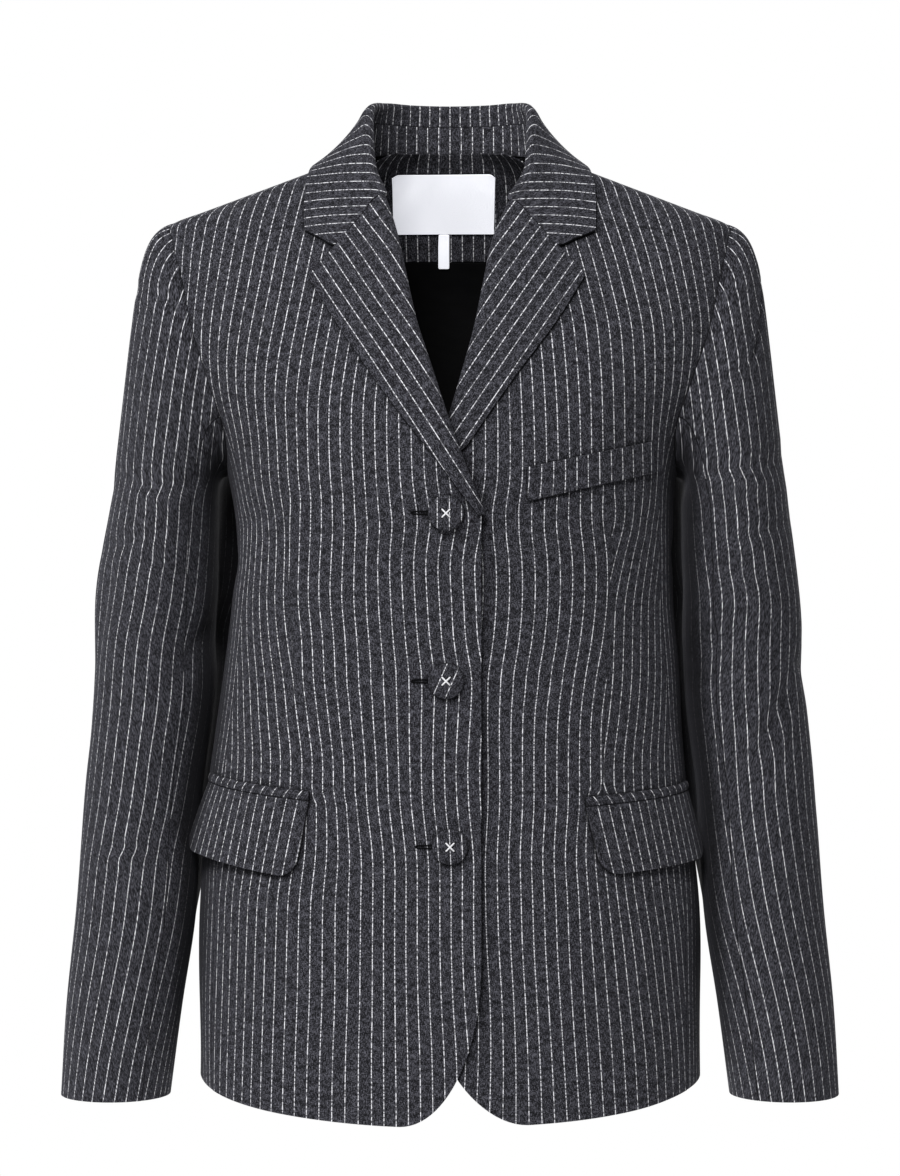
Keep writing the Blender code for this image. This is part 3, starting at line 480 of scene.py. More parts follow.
def maths(tree, operation, *terms):
    """One Math node: numbers become constants, sockets become links."""
    links = {i: term for i, term in enumerate(terms) if not isinstance(term, (int, float))}
    values = {i: term for i, term in enumerate(terms) if isinstance(term, (int, float))}
    return add(tree, "ShaderNodeMath", links, values, operation=operation).outputs[0]


def mix(tree, share, start, end):
    """A colour from start to end by a share; each is a hex code or a node's output."""
    ends = {6: start, 7: end}
    links = {0: share} | {key: term for key, term in ends.items() if not isinstance(term, str)}
    values = {key: colour(term) for key, term in ends.items() if isinstance(term, str)}
    return add(tree, "ShaderNodeMix", links, values, data_type="RGBA").outputs[2]


def ramp(tree, source, low, high, start=0.0, end=1.0):
    """A smooth ramp from start to end, while the source goes from low to high."""
    made = add(tree, "ShaderNodeMapRange", {"Value": source}, interpolation_type="SMOOTHSTEP")
    for socket, value in zip(("From Min", "From Max", "To Min", "To Max"), (low, high, start, end)):
        made.inputs[socket].default_value = value
    return made.outputs[0]


def noise(tree, place, size, detail=2.0, stretch=(1.0, 1.0, 1.0)):
    """Noise whose grain is about `size` metres, on a place given in metres."""
    scaled = add(tree, "ShaderNodeVectorMath", {0: place}, {1: stretch}, operation="MULTIPLY").outputs[0]
    made = add(tree, "ShaderNodeTexNoise", {"Vector": scaled}, {"Scale": 1.0 / size, "Detail": detail})
    return made.outputs["Fac"]


# %% The flannel
def make_flannel(name):
    """Milled charcoal flannel: speckle from three sizes of noise, beaded stripes from the cloth's own map."""
    made, shader = new_material(
        name,
        "#36363B",
        0.95,
        Sheen_Weight=0.08,
        Sheen_Roughness=0.50,
        Sheen_Tint=colour("#C4C4D2"),
        Specular_IOR_Level=0.12,
    )
    tree = made.node_tree
    place = add(tree, "ShaderNodeUVMap", uv_map="cloth").outputs[0]
    parts = add(tree, "ShaderNodeSeparateXYZ", {0: place})
    across, along = parts.outputs[0], parts.outputs[1]
    side, shift, edge, spread = (
        add(tree, "ShaderNodeAttribute", attribute_name=key).outputs["Fac"]
        for key in ("dart", "dart_shift", "seam", "spread")
    )
    beyond = maths(tree, "GREATER_THAN", side, 0.0)
    across = maths(tree, "ADD", across, maths(tree, "MULTIPLY", shift, beyond))

    # the cloth between the stripes
    fibre = noise(tree, place, FIBRE, 4.0)
    streak = noise(tree, place, FIBRE, 2.0, (1.0, 0.35, 1.0))
    cloud = noise(tree, place, BLEND, 2.0)
    greys = maths(tree, "ADD", maths(tree, "MULTIPLY", fibre, 0.55), maths(tree, "MULTIPLY", streak, 0.45))
    greys = maths(tree, "ADD", greys, maths(tree, "MULTIPLY", maths(tree, "SUBTRACT", cloud, 0.5), 0.22))
    tone = maths(tree, "POWER", ramp(tree, greys, 0.37, 0.66), 1.8)
    cloth = mix(tree, tone, "#111114", "#5A5A62")

    # the stripes: distance to the nearest one, roughened by the fibres, broken into beads
    count = maths(tree, "DIVIDE", across, STRIPE_PITCH)
    near = maths(tree, "MULTIPLY", maths(tree, "PINGPONG", count, 0.5), STRIPE_PITCH)
    near = maths(tree, "DIVIDE", near, maths(tree, "MAXIMUM", spread, LEAST_SPREAD))
    near = maths(tree, "ADD", near, maths(tree, "MULTIPLY", maths(tree, "SUBTRACT", fibre, 0.5), 0.5 * MM))
    line = ramp(tree, near, 0.35 * STRIPE_HALF, 1.35 * STRIPE_HALF, 1.0, 0.0)
    beads = ramp(tree, noise(tree, place, BEAD, 1.0, (0.3, 1.0, 1.0)), 0.42, 0.58, 0.15, 1.0)
    line = maths(tree, "MULTIPLY", line, beads)
    line = maths(tree, "MULTIPLY", line, ramp(tree, spread, 0.12, 0.35))
    surface = mix(tree, line, cloth, "#EDEDF2")

    # sewn lines: a narrow hollow along each seam and dart in the relief, and painted shade along it in the
    # colour
    in_dart = maths(tree, "GREATER_THAN", maths(tree, "ABSOLUTE", shift), 0.3 * MM)
    dart_line = ramp(tree, maths(tree, "ABSOLUTE", side), 0.0, SEWN_HALF, 1.0, 0.0)
    dart_line = maths(tree, "MULTIPLY", dart_line, in_dart)
    seam_line = ramp(tree, edge, 0.0, SEWN_HALF, 1.0, 0.0)
    sewn = maths(tree, "MAXIMUM", dart_line, seam_line)
    shaded = mix(tree, maths(tree, "MULTIPLY", sewn, 0.35), surface, "#17171A")
    # painted shade: an ambient occlusion node darkens the colour towards near black in gaps, hollows and
    # beside raised edges, where shade falls
    hollow = add(tree, "ShaderNodeAmbientOcclusion", values={"Distance": CREVICE}, samples=8)
    painted_shade = ramp(tree, hollow.outputs["AO"], 0.32, 0.88, 0.95, 0.0)
    tree.links.new(mix(tree, painted_shade, shaded, "#030304"), shader.inputs["Base Color"])

    # relief: twill lines under the nap, the raised stripe yarn, and the sewn hollows
    slant = maths(tree, "MULTIPLY", maths(tree, "ADD", across, along), TURN / TWILL)
    twill = maths(tree, "MULTIPLY", maths(tree, "SINE", slant), 0.06 * MM)
    height = maths(tree, "ADD", twill, maths(tree, "MULTIPLY", fibre, 0.45 * MM))
    height = maths(tree, "ADD", height, maths(tree, "MULTIPLY", line, 0.08 * MM))
    height = maths(tree, "SUBTRACT", height, maths(tree, "MULTIPLY", sewn, 0.35 * MM))
    slack = noise(tree, place, SLACK, 2.0, (1.0, 0.7, 1.0))
    height = maths(tree, "ADD", height, maths(tree, "MULTIPLY", slack, 1.6 * MM))
    bump = add(tree, "ShaderNodeBump", {"Height": height}, {"Strength": 0.55, "Distance": 1.0})
    tree.links.new(bump.outputs[0], shader.inputs["Normal"])
    return made


FLANNEL = make_flannel("wool_flannel_milled_pinstriped")
print("stripes every", STRIPE_PITCH / MM, "mm")

# %% [markdown]
# ## Lining, labels and thread
#
# The lining is black viscose twill, smooth so that the jacket slips on. Labels are woven white satin, whose
# long floating threads give a soft gleam; they are left bare. Sewing thread is spun polyester, slightly
# shiny. Each gets its own fine relief, because a plain colour reads as plastic.

# %% Lining, satin and thread
LINING_TWILL = 0.9 * MM  # drawn coarser than the real 0.3 mm, which is too fine to show
SATIN_FLOAT = 0.7 * MM


def make_smooth_cloth(name, base, light, roughness, spacing, slanted, **settings):
    """A fine weave: sine ridges on the cloth's own map, with a slow change of tone from noise.

    slanted leans the ridges: each metre along the cloth moves them that many metres across.
    """
    made, shader = new_material(name, base, roughness, **settings)
    tree = made.node_tree
    place = add(tree, "ShaderNodeUVMap", uv_map="cloth").outputs[0]
    parts = add(tree, "ShaderNodeSeparateXYZ", {0: place})
    run = maths(tree, "ADD", parts.outputs[0], maths(tree, "MULTIPLY", parts.outputs[1], slanted))
    ridges = maths(tree, "SINE", maths(tree, "MULTIPLY", run, TURN / spacing))
    cloud = noise(tree, place, 8 * spacing, 3.0)
    tone = maths(tree, "ADD", maths(tree, "MULTIPLY", ridges, 0.22), cloud)
    tree.links.new(mix(tree, ramp(tree, tone, 0.1, 1.0), base, light), shader.inputs["Base Color"])
    height = maths(tree, "MULTIPLY", ridges, 0.04 * MM)
    bump = add(tree, "ShaderNodeBump", {"Height": height}, {"Strength": 0.6, "Distance": 1.0})
    tree.links.new(bump.outputs[0], shader.inputs["Normal"])
    return made


LINING = make_smooth_cloth(
    "viscose_twill_lining", "#020203", "#080809", 0.60, LINING_TWILL, 1.0, Specular_IOR_Level=0.06
)
SATIN = make_smooth_cloth(
    "polyester_satin_woven_white",
    "#F0F1F6",
    "#FBFBFD",
    0.55,
    SATIN_FLOAT,
    0.0,
    Emission_Color=colour("#F4F6FF"),  # painted light: the label glows a little, so that it stays bright in the shade inside the neck
    Emission_Strength=0.50,
)
WHITE_THREAD = make_smooth_cloth(
    "spun_polyester_thread_white", "#D8D8DC", "#F2F2F4", 0.55, 0.35 * MM, 0.6, Sheen_Weight=0.2
)
DARK_THREAD = make_smooth_cloth(
    "spun_polyester_thread_charcoal", "#020203", "#0A0A0C", 0.85, 0.35 * MM, 0.6, Specular_IOR_Level=0.1
)


# %% [markdown]
# ## From a grid to a shell of cloth
#
# Two grids, one for each face of the cloth, are joined by a rim into one closed shell. Real cloth is a
# millimetre or two thick, and its turned edge is rounded, so a narrow bevel rolls the rim. The grid also
# carries the place of every point on the flat cloth, in metres, as a UV map: across the stripes and along
# them. Solidify could thicken a single sheet, but two worked-out faces also meet cleanly where pieces join.

# %% Shells
collection = bpy.data.collections.new("single_breasted_blazer")
bpy.context.scene.collection.children.link(collection)
EDGE_ROUND, ROUND_FROM = 0.5 * MM, 62.0  # edges sharper than this many degrees are rolled
JOG = 0.9  # the creases push the stripes aside by this many times their depth
FAR = 1.0  # metres, for points that lie on no seam


def seam_distance(face, sides):
    """Distance of each point from the sewn borders, foot, top, inner and outer, along its row or column."""
    up, out = run_along(face), run_along(face, 1)
    runs = {"f": up, "t": up[-1] - up, "i": out, "o": out[:, -1:] - out}
    return np.minimum.reduce([runs[side] for side in sides] + [FAR + 0 * up])


def spread_of(face, across):
    """How fast the flat cloth's measure across the stripes runs over the surface, per metre.

    With the grid's steps u and v, and the measure's changes p and q along them, it is the root of
    (p p vv - 2 p q uv + q q uu) / (uu vv - uv uv). The stripes are kept equally wide by it.
    """
    u, v = np.gradient(face, axis=0), np.gradient(face, axis=1)
    p, q = np.gradient(across, axis=0), np.gradient(across, axis=1)
    uu, vv, uv = (u * u).sum(axis=-1), (v * v).sum(axis=-1), (u * v).sum(axis=-1)
    slope = p * p * vv - 2 * p * q * uv + q * q * uu
    return np.sqrt(np.maximum(slope, 0.0) / np.maximum(uu * vv - uv * uv, 1e-18))


def set_point_value(mesh, name, values):
    made = mesh.attributes.new(name, "FLOAT", "POINT")
    made.data.foreach_set("value", np.ascontiguousarray(values, dtype=np.float32).ravel())

# %% Sewing a shell
def finish_piece(name, mesh, places, looks, replaced, rounded):
    """Writes the flat-cloth places as a UV map, shades the mesh smooth and makes the object."""
    corners = np.empty(len(mesh.loops), dtype=np.int32)
    mesh.loops.foreach_get("vertex_index", corners)
    layer = mesh.uv_layers.new(name="cloth")
    layer.data.foreach_set("uv", places[corners].astype(np.float32).ravel())
    mesh.shade_smooth()
    made = bpy.data.objects.new(name, mesh)
    collection.objects.link(made)
    for look in looks:
        mesh.materials.append(look)
    if rounded:
        bevel = made.modifiers.new("rolled edge", "BEVEL")
        bevel.width, bevel.segments, bevel.limit_method = EDGE_ROUND, 2, "ANGLE"
        bevel.angle_limit = np.radians(ROUND_FROM)
        bevel.harden_normals = True
    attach(made, "root")
    for node in replaced:
        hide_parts(node)


def sew(name, face, back, cloth, looks=(FLANNEL, LINING), seams="ftio", dart=(-FAR, 0.0)):
    """Joins two faces and a rim into a closed shell.

    cloth is the pair of grids (across, along) on the flat cloth; dart the pair (signed distance, shift).
    The rim goes once round the border; the faces are turned round if the shell's volume comes out negative.
    """
    rows, columns = face.shape[:2]
    half = rows * columns
    index = np.arange(half).reshape(rows, columns)
    quads = np.stack([index[:-1, :-1], index[:-1, 1:], index[1:, 1:], index[1:, :-1]], axis=-1).reshape(-1, 4)
    rim = np.concatenate([index[0], index[1:, -1], index[-1, -2::-1], index[-2:0:-1, 0]])
    ahead = np.roll(rim, -1)
    edges = np.stack([rim, rim + half, ahead + half, ahead], axis=-1)
    faces = np.concatenate([quads, quads[:, ::-1] + half, edges])
    points = np.concatenate([face.reshape(-1, 3), back.reshape(-1, 3)])
    a, b, c, d = points[faces].swapaxes(0, 1)
    if np.sum(a * np.cross(b, c)) + np.sum(a * np.cross(c, d)) < 0:
        faces = faces[:, ::-1]
    mesh = bpy.data.meshes.new(name)
    mesh.from_pydata(points.tolist(), [], faces.tolist())
    inside = np.zeros(len(faces), dtype=np.int32)
    inside[len(quads) : 2 * len(quads)] = 1
    mesh.polygons.foreach_set("material_index", inside)
    across, along = np.broadcast_arrays(*cloth, face[..., 0])[:2]
    places = np.stack([across.ravel(), along.ravel()], axis=-1)
    signed, shift = np.broadcast_arrays(*dart, across)[:2]
    set_point_value(mesh, "dart", np.tile(signed.ravel(), 2))
    set_point_value(mesh, "dart_shift", np.tile(shift.ravel(), 2))
    set_point_value(mesh, "seam", np.tile(seam_distance(face, seams).ravel(), 2))
    set_point_value(mesh, "spread", np.tile(spread_of(face, across).ravel(), 2))
    finish_piece(name, mesh, np.tile(places, (2, 1)), looks, [name], True)
    print(f"{name}: {rows - 1} by {columns - 1} quads a face")


def sew_on_form(name, grid, cloth, thickness=WALL, sunk=0.0, **rest):
    """A shell on the form: its outer face at the grid's lift less sunk, its inner one a thickness below."""
    angle, z, lift = grid
    cloth = (cloth[0] + JOG * relief(angle, z), cloth[1])
    sew(name, body(angle, z, lift - sunk), body(angle, z, lift - sunk - thickness), cloth, **rest)


# %% [markdown]
# ## How the stripes run on the fronts
#
# On the table the stripes are straight and 8.3 mm apart. Sewn up, they lean outwards from the shoulder to
# the chest and in again below it, are drawn in slightly at each button, and stop at the waist dart, where
# the folded-away cloth is missing. The table gives, at a row of heights, how far out from the centre front
# three numbered stripes lie on each front. Between them the stripes are counted evenly. On both sides of
# the dart the count is read from its own side, so the stripes break on the dart's line.

# %% Stripe rows of the fronts, in millimetres along the cloth
GRAIN = rows_of(
    "z right_0 right_5 right_14 left_0 left_6 left_12",
    (10, -6, 35, 108, 17, 66, 115),
    (-35.5, 0.5, 41.8, 116.2, 24.5, 73.7, 122.9),
    (-63, 6, 47.2, 121.7, 32.2, 81.4, 130.6),
    (-90.5, 11.2, 52.4, 126.9, 39.1, 88.3, 137.5),
    (-118, 16.8, 58.2, 132.6, 45.3, 94.5, 143.7),
    (-145.5, 22.3, 63.7, 138.1, 47.8, 97.6, 146.9),
    (-173.1, 26.2, 67.7, 141.3, 48.9, 99.5, 149.8),
    (-200.6, 26.4, 67.9, 142.1, 49.5, 100.3, 154),
    (-228.1, 25.3, 66.5, 142.6, 49.5, 100.6, 157.5),
    (-255.6, 21.8, 65, 138.7, 46.8, 100.6, 153.2),
    (-283.1, 24.8, 66.8, 138.5, 49.4, 103.8, 144.3),
    (-310.7, 24.5, 66.7, 138.3, 49.6, 103.7, 137.2),
    (-338.2, 23, 64.3, 134.4, 47.6, 100.2, 134.9),
    (-365.7, 19.9, 62, 128.8, 44, 94.8, 133.3),
    (-393.2, 19.4, 60, 125.2, 42.9, 91.4, 129.9),
    (-420.7, 18.9, 58, 121.8, 42.5, 90.8, 125.7),
    (-448.3, 18.2, 57.7, 122.5, 42, 90.9, 125.9),
    (-489.5, 15, 54.2, 126.2, 40, 88.2, 130.1),
    (-517.1, 15.2, 53.8, 131.4, 41, 89.8, 133.9),
    (-544.6, 15, 53.3, 133.1, 42.1, 91.1, 139.2),
    (-585.9, 13.6, 53, 134.7, 44.2, 93.9, 145.7),
    (-620.3, 12.1, 53.7, 136, 44.9, 96.4, 150.9),
    (-672, 11.6, 53.3, 138, 44.9, 99.5, 155),
    plain="right_0 right_5 right_14 left_0 left_6 left_12",
)
KNOTS = {"right": (0, 5, 14), "left": (0, 6, 12)}  # the numbers of the stripes in the table
BEYOND, OUTER_PITCH = 10, 8.25  # stripes beyond the last of them, and their pitch
DARTS = by_side(
    "top_x top_z foot_x foot_z", (115.1, -255.3, 104, -443), (112.3, -262.9, 106, -439.6)
)
DART_EASE = 0.030  # above its tip, the dart's shift fades over this height
DART_FOOT = 0.010  # and below its foot over this
print(len(GRAIN), "heights with numbered stripes")

# %% Counting the stripes of a front
def count_stripes(out, places, numbers):
    """Stripe number at `out`: straight runs between the numbered places, the end ones carried on."""
    total = numbers[0] + 0 * out
    last = len(numbers) - 2
    for i in range(last + 1):
        share = (out - places[i]) / (places[i + 1] - places[i])
        share = np.clip(share, -np.inf if i == 0 else 0.0, np.inf if i == last else 1.0)
        total = total + share * (numbers[i + 1] - numbers[i])
    return total


def front_cloth(side, angle, z):
    """Place on a front's flat cloth, and its dart: distance past its line, and the shift beyond it.

    The smooth count runs through all numbered stripes. In the dart's height the inner side counts on from
    the first two alone and the outer side back from the last one, and the shift is their difference.
    """
    out = SIDES[side] * arc(angle, z) / MM
    numbers = KNOTS[side]
    places = [at_height(z, GRAIN, f"{side}_{number}") for number in numbers]
    end = places[-1] + BEYOND * OUTER_PITCH
    whole = count_stripes(out, [*places, end], [*numbers, numbers[-1] + BEYOND])
    inner = count_stripes(out, places[:2], numbers[:2])
    outer = numbers[-1] + (out - places[-1]) / OUTER_PITCH
    dart = DARTS[side]
    share = (z - dart.top_z) / (dart.foot_z - dart.top_z)
    line_x = SIDES[side] * (dart.top_x + (dart.foot_x - dart.top_x) * share)
    past = out - SIDES[side] * arc(angle_at(line_x, z), z) / MM
    within = (1 - step(dart.top_z, dart.top_z + DART_EASE, z)) * step(dart.foot_z - DART_FOOT, dart.foot_z, z)
    near = np.where(past > 0, outer, inner)
    blended = whole + (near - whole) * within
    shift = (outer - inner) * within
    across = blended - np.where(past > 0, shift, 0.0)
    return (across * STRIPE_PITCH, z), (past * MM, shift * STRIPE_PITCH)


print("the first stripe at the waist lies", round(float(at_height(-0.27, GRAIN, "left_0")), 1), "mm out")

# %% [markdown]
# ## Fronts, side panels and backs
#
# Each front is one cut piece from the shoulder to the hem. Its inner border is the rounded corner, the
# buttoned edge, the lapel's roll line and the neck; its outer one the side seam and the armhole. The grid
# fills these borders like a stretched net (a Coons patch), so rows run with the borders at every edge.

# %% Body panels
# Steps of the grids. A front's border has as many on its edge as on its side: corner, edge, roll line and
# neck together equal the side seam and the armhole's arc, and so do a back's centre seam and neck.
CORNER_STEPS, EDGE_STEPS, ROLL_STEPS, NECK_STEPS = 24, 36, 72, 24
SIDE_STEPS, ARC_STEPS = 108, 48
UNDER_STEPS = 30  # across the side panel and the under sleeve
ACROSS_STEPS = 54  # across a front or a back
SEAM_RADIUS = 0.11  # of the form at the side seams


def coons(inner, outer, foot, top):
    """Fills four border lines with grids of angles and heights, stretched between the lines' ends."""
    v = np.linspace(0, 1, len(inner))[:, None, None]
    w = np.linspace(0, 1, len(foot))[None, :, None]
    net = (
        (1 - w) * inner[:, None]
        + w * outer[:, None]
        + (1 - v) * foot[None]
        + v * top[None]
        - (1 - v) * ((1 - w) * inner[0] + w * outer[0])
        - v * ((1 - w) * inner[-1] + w * outer[-1])
    )
    return net[..., 0], net[..., 1]


def seam_angle(angle, away):
    """An angle moved off its seam, by the seam's half gap."""
    return angle + away * np.degrees(SEAM / SEAM_RADIUS)

# %% Grids of a front, a side panel and a back
def side_border(side, seam, turns, limit):
    """A panel's outer border: up its side seam and on along its part of the armhole."""
    hole_angle, hole_z = armhole(turns)
    hole_angle = limit(hole_angle)
    hole_angle[0] = seam
    seam_z = between(hem_z(seam), hole_z[0], SIDE_STEPS)
    return chain((SIDES[side] * seam, seam_z), (SIDES[side] * hole_angle, hole_z))


def front_grid(side):
    """A front: rounded corner, edge, roll line and neckline inside, side seam and armhole outside."""
    sign = SIDES[side]
    cut = FRONT_EDGE[side]
    foot_z = float(hem_z(angle_at(cut.corner_x, HEM_SIDE_Z)))
    turn = np.radians(between(0, 90, CORNER_STEPS))
    power = 2 / cut.corner_power
    corner_x = cut.corner_x - sign * cut.corner_width * np.sin(turn) ** power
    corner_z = foot_z + cut.corner_height * (1 - np.abs(np.cos(turn)) ** power)
    edge_z = between(corner_z[-1], ROLL[-1].z, EDGE_STEPS)
    roll_z = roll_heights(ROLL_STEPS)
    roll_z[-1] -= FRONT_NECK_DROP
    along_neck = between(2.0, 1.0, NECK_STEPS)
    neck_angle, neck_z = neckline(side, along_neck)
    neck_z = neck_z - FRONT_NECK_DROP * step(1.0, 1.5, along_neck)
    neck_angle[0] = angle_at(roll_x(roll_z[-1], side), roll_z[-1])
    inner = chain(
        (angle_at(corner_x, corner_z), corner_z),
        (angle_at(cut.edge_x, edge_z), edge_z),
        (angle_at(roll_x(roll_z, side), roll_z), roll_z),
        (neck_angle, neck_z),
    )
    seam, shoulder = seam_angle(SIDE_FRONT_SEAM, -1), 90.0 - SHOULDER_SEAM_ANGLE
    outer = side_border(side, seam, armhole_turns()[0][::-1], lambda angle: np.minimum(angle, shoulder))
    foot_angle = between(inner[0, 0], outer[0, 0], ACROSS_STEPS)
    foot = np.stack([foot_angle, hem_z(foot_angle)], axis=-1)
    foot[:, 1] += (foot_z - foot[0, 1]) * np.linspace(1, 0, len(foot))
    angle, z = coons(inner, outer, foot, between(inner[-1], outer[-1], ACROSS_STEPS))
    flat = on_form(angle, z)
    return angle, z, front_lift(flat[..., 0], flat[..., 2], side)


def side_grid(side):
    """A side panel, between the side seams, with the foot of the armhole at its top."""
    sign = SIDES[side]
    front, back = seam_angle(SIDE_FRONT_SEAM, 1), seam_angle(SIDE_BACK_SEAM, -1)
    hole_angle, hole_z = armhole(armhole_turns()[1])
    hole_angle[0], hole_angle[-1] = front, back
    inner = chain((sign * front, between(hem_z(front), hole_z[0], SIDE_STEPS)))
    outer = chain((sign * back, between(hem_z(back), hole_z[-1], SIDE_STEPS)))
    foot_angle = between(front, back, UNDER_STEPS)
    foot = chain((sign * foot_angle, hem_z(foot_angle)))
    return (*coons(inner, outer, foot, chain((sign * hole_angle, hole_z))), 0.0)


def back_grid(side):
    """A back half: centre seam and neck on one side, side seam and armhole on the other."""
    sign = SIDES[side]
    centre, seam = 180.0 - CENTRE_SEAM_ANGLE, seam_angle(SIDE_BACK_SEAM, 1)
    shoulder = 90.0 + SHOULDER_SEAM_ANGLE
    outer = side_border(side, seam, armhole_turns()[2], lambda angle: np.maximum(angle, shoulder))
    neck_angle, neck_z = neckline(side, between(0.0, 1.0, NECK_STEPS))
    neck_angle[0], neck_angle[-1] = sign * centre, sign * shoulder
    centre_z = between(hem_z(centre), BACK_NECK_Z, len(outer) - len(neck_z))
    inner = chain((sign * centre, centre_z), (neck_angle, neck_z))
    foot_angle = between(centre, seam, ACROSS_STEPS)
    foot = chain((sign * foot_angle, hem_z(foot_angle)))
    return (*coons(inner, outer, foot, between(inner[-1], outer[-1], ACROSS_STEPS)), 0.0)


print("a front is a grid of", front_grid("right")[0].shape, "points")

# %% Pressing, and the six panels
EDGE_ROLL, EDGE_SOFT = 2.2 * MM, 9.0 * MM  # the buttoned edge stands off by this, over this width
EDGE_GROOVE = 1.3 * MM  # and the front beneath sinks by this beside it
GROOVE_AT, GROOVE_SOFT = 3 * MM, 6 * MM
EDGE_Z = (-0.280, -0.255)  # both fade out between these heights, at the lapel's break
HELD_Z, HELD_REACH = (-0.251, -0.366, -0.480), 0.022  # the buttons hold it down at these heights
HELD_SHARE = 0.6  # by this share
SEAM_CLOSED, SEAM_NEAR = 0.9, 3.0  # the centre back seam closes by this share, over these degrees


def pressed(side, angle, z, lift):
    """A back half whose centre seam closes: near it the angle left to the centre shrinks by a share."""
    left = 180.0 - SIDES[side] * angle
    left = left - SEAM_CLOSED * CENTRE_SEAM_ANGLE * (1 - step(0.0, SEAM_NEAR, left))
    return SIDES[side] * (180.0 - left), z, lift


def edge_step(side, angle, z):
    """How far each front leaves the form at the buttoned edge, between the buttons and below them."""
    past = body(angle, z)[..., 0] - FRONT_EDGE["right"].edge_x
    held = sum(np.exp(-(((z - height) / HELD_REACH) ** 2)) for height in HELD_Z)
    free = (1 - HELD_SHARE * np.clip(held, 0, 1)) * (1 - step(*EDGE_Z, z))
    if side == "right":
        return EDGE_ROLL * free * np.exp(-((past / EDGE_SOFT) ** 2))
    return -EDGE_GROOVE * free * np.exp(-(((past - GROOVE_AT) / GROOVE_SOFT) ** 2))


for side, sign in SIDES.items():
    angle, z, lift = front_grid(side)
    cloth, dart = front_cloth(side, angle, z)
    sew_on_form(f"front_{side}", (angle, z, lift + edge_step(side, angle, z)), cloth, seams="to", dart=dart)
    angle, z, lift = side_grid(side)
    from_side = sign * (arc(angle, z) - arc(sign * 90.0, z))
    sew_on_form(f"side_{side}", (angle, z, lift), (from_side, z), seams="tio")
    angle, z, lift = pressed(side, *back_grid(side))
    from_centre = arc(sign * 180.0, z) - arc(angle, z)
    sew_on_form(f"back_{side}", (angle, z, lift), (from_centre + STRIPE_PITCH / 2, z), seams="tio")

# %% [markdown]
# ## Lapels
#
# A lapel is the front's facing turned outwards. It rolls over the front's edge without a crease, so its
# section is a small hook at the roll line and then lies out to a crisp edge. Its stripes are cut to run
# with that outer edge. The section's few points are joined by a smooth curve, which makes a soft roll.

# %% Measures of the lapels and the collar
# Each lapel's outer edge, from its tip to its lower end
LAPEL_EDGE = {
    "right": rows_of(
        "x z",
        (-99, -85.6),
        (-74.5, -126),
        (-37.8, -179),
        (-6.4, -219),
        (5, -234),
        (18, -250.5),  # the upper lapel runs out in a point at its break
    ),
    "left": rows_of(
        "x z",
        (94.4, -84.4),
        (73.7, -118),
        (45.7, -155.6),
        (11, -205.5),
    ),
}
LAPEL_ROWS = {"right": 12, "left": 10}  # steps of the roll line that the lapel spans, from the top
NOTCH_STEP = 3  # of the steps across the lapel's top, those along the gorge seam
# Section of the lapel's roll: distance from the roll line towards the lapel, and lift off the front
LAPEL_ROLL = rows_of(
    "along lift",
    (11, -4.6),
    (1, -4.7),
    (-2.2, -3),
    (-2.7, 0.6),
    (-1, 3.4),
    (5, 4.8),
)
LAPEL_EDGE_LIFT = 0.0030
LEFT_FLAT_Z = (-0.190, -0.150)  # below these heights the left lapel lies flat, under the right front
INSIDE_SHARE = 0.7  # the roll's inside reaches at most this share of the lapel's width
WRAP = 0.0110  # the lapel reaches this far behind the front, past the roll line
INSIDE_COLUMNS = 4  # points of the roll's section that lie inside the roll
LAPEL_STEPS = 12  # of the whole roll line, before the grid is made finer
LAPEL_ACROSS = 5  # steps from the roll to the edge

# Collar stations from the centre back to the gorge: a fold point, and an edge point on the form
COLLAR = rows_of(
    "neckline fold_x fold_y fold_z edge_angle edge_z edge_lift",
    (0, 0, 64, 53, 180, 2, 9),
    (0.32, 26, 59, 53, 152, 2, 8.5),
    (0.64, 44, 43, 52, 125, 1, 7),
    (1, 52.5, 16, 45, 93, -1, 5),
    (1.45, 53.5, -7, 22, 50, -13, 4),
    (1.75, 51.5, -26, -4, 33, -30, 3.6),
    plain="neckline edge_angle",
)
STAND_END = 4.5  # the stand runs out between the fifth and the last station
COLLAR_CORNER_X = 0.1024
COLLAR_CORNER_Z = -0.0510
COLLAR_BULGE = 0.0030
GORGE_EASE = 0.0035  # the gorge seam opens this much more inside the roll
COLLAR_STRIP = 0.0160  # the top collar runs this far down inside the fold, to the stand
STRIP_SHARE = 0.72  # but at most this share of the way to the neck seam
# Section of the collar's fold: a share of that strip and a length down from the fold, and a way out
COLLAR_FOLD = rows_of(
    "strip down out",
    (1, 0, 0),
    (0.66, 0, 0),
    (0, 2.8, 0.2),
    (0, 0, 2.6),
    (0, 1.6, 5.6),
    (0, 6, 7.4),
    plain="strip",
)
COLLAR_CLEAR = 0.00375  # least way off the chest
CHEST_SHARE = 0.985  # of the form's half width, inside which the chest lies below the collar

# %% Sewing the lapels
DETAIL = 6  # steps up a lapel or round the collar, for each step of its plan
LAPEL_FINE = 7  # and steps across, between two of the section's points
LAPEL_FIRST = 4.6 * MM  # the first stripe lies this far inside the edge
LAPEL_OVER = 0.35 * MM  # the upper lapel rises this much more where it crosses the lower one
LAPEL_OVER_Z, LAPEL_OVER_REACH = -0.203, 0.02


def normals(points, flip):
    """Each grid point's normal, from its neighbours along the rows and the columns."""
    return flip * unit(np.cross(np.gradient(points, axis=1), np.gradient(points, axis=0)))


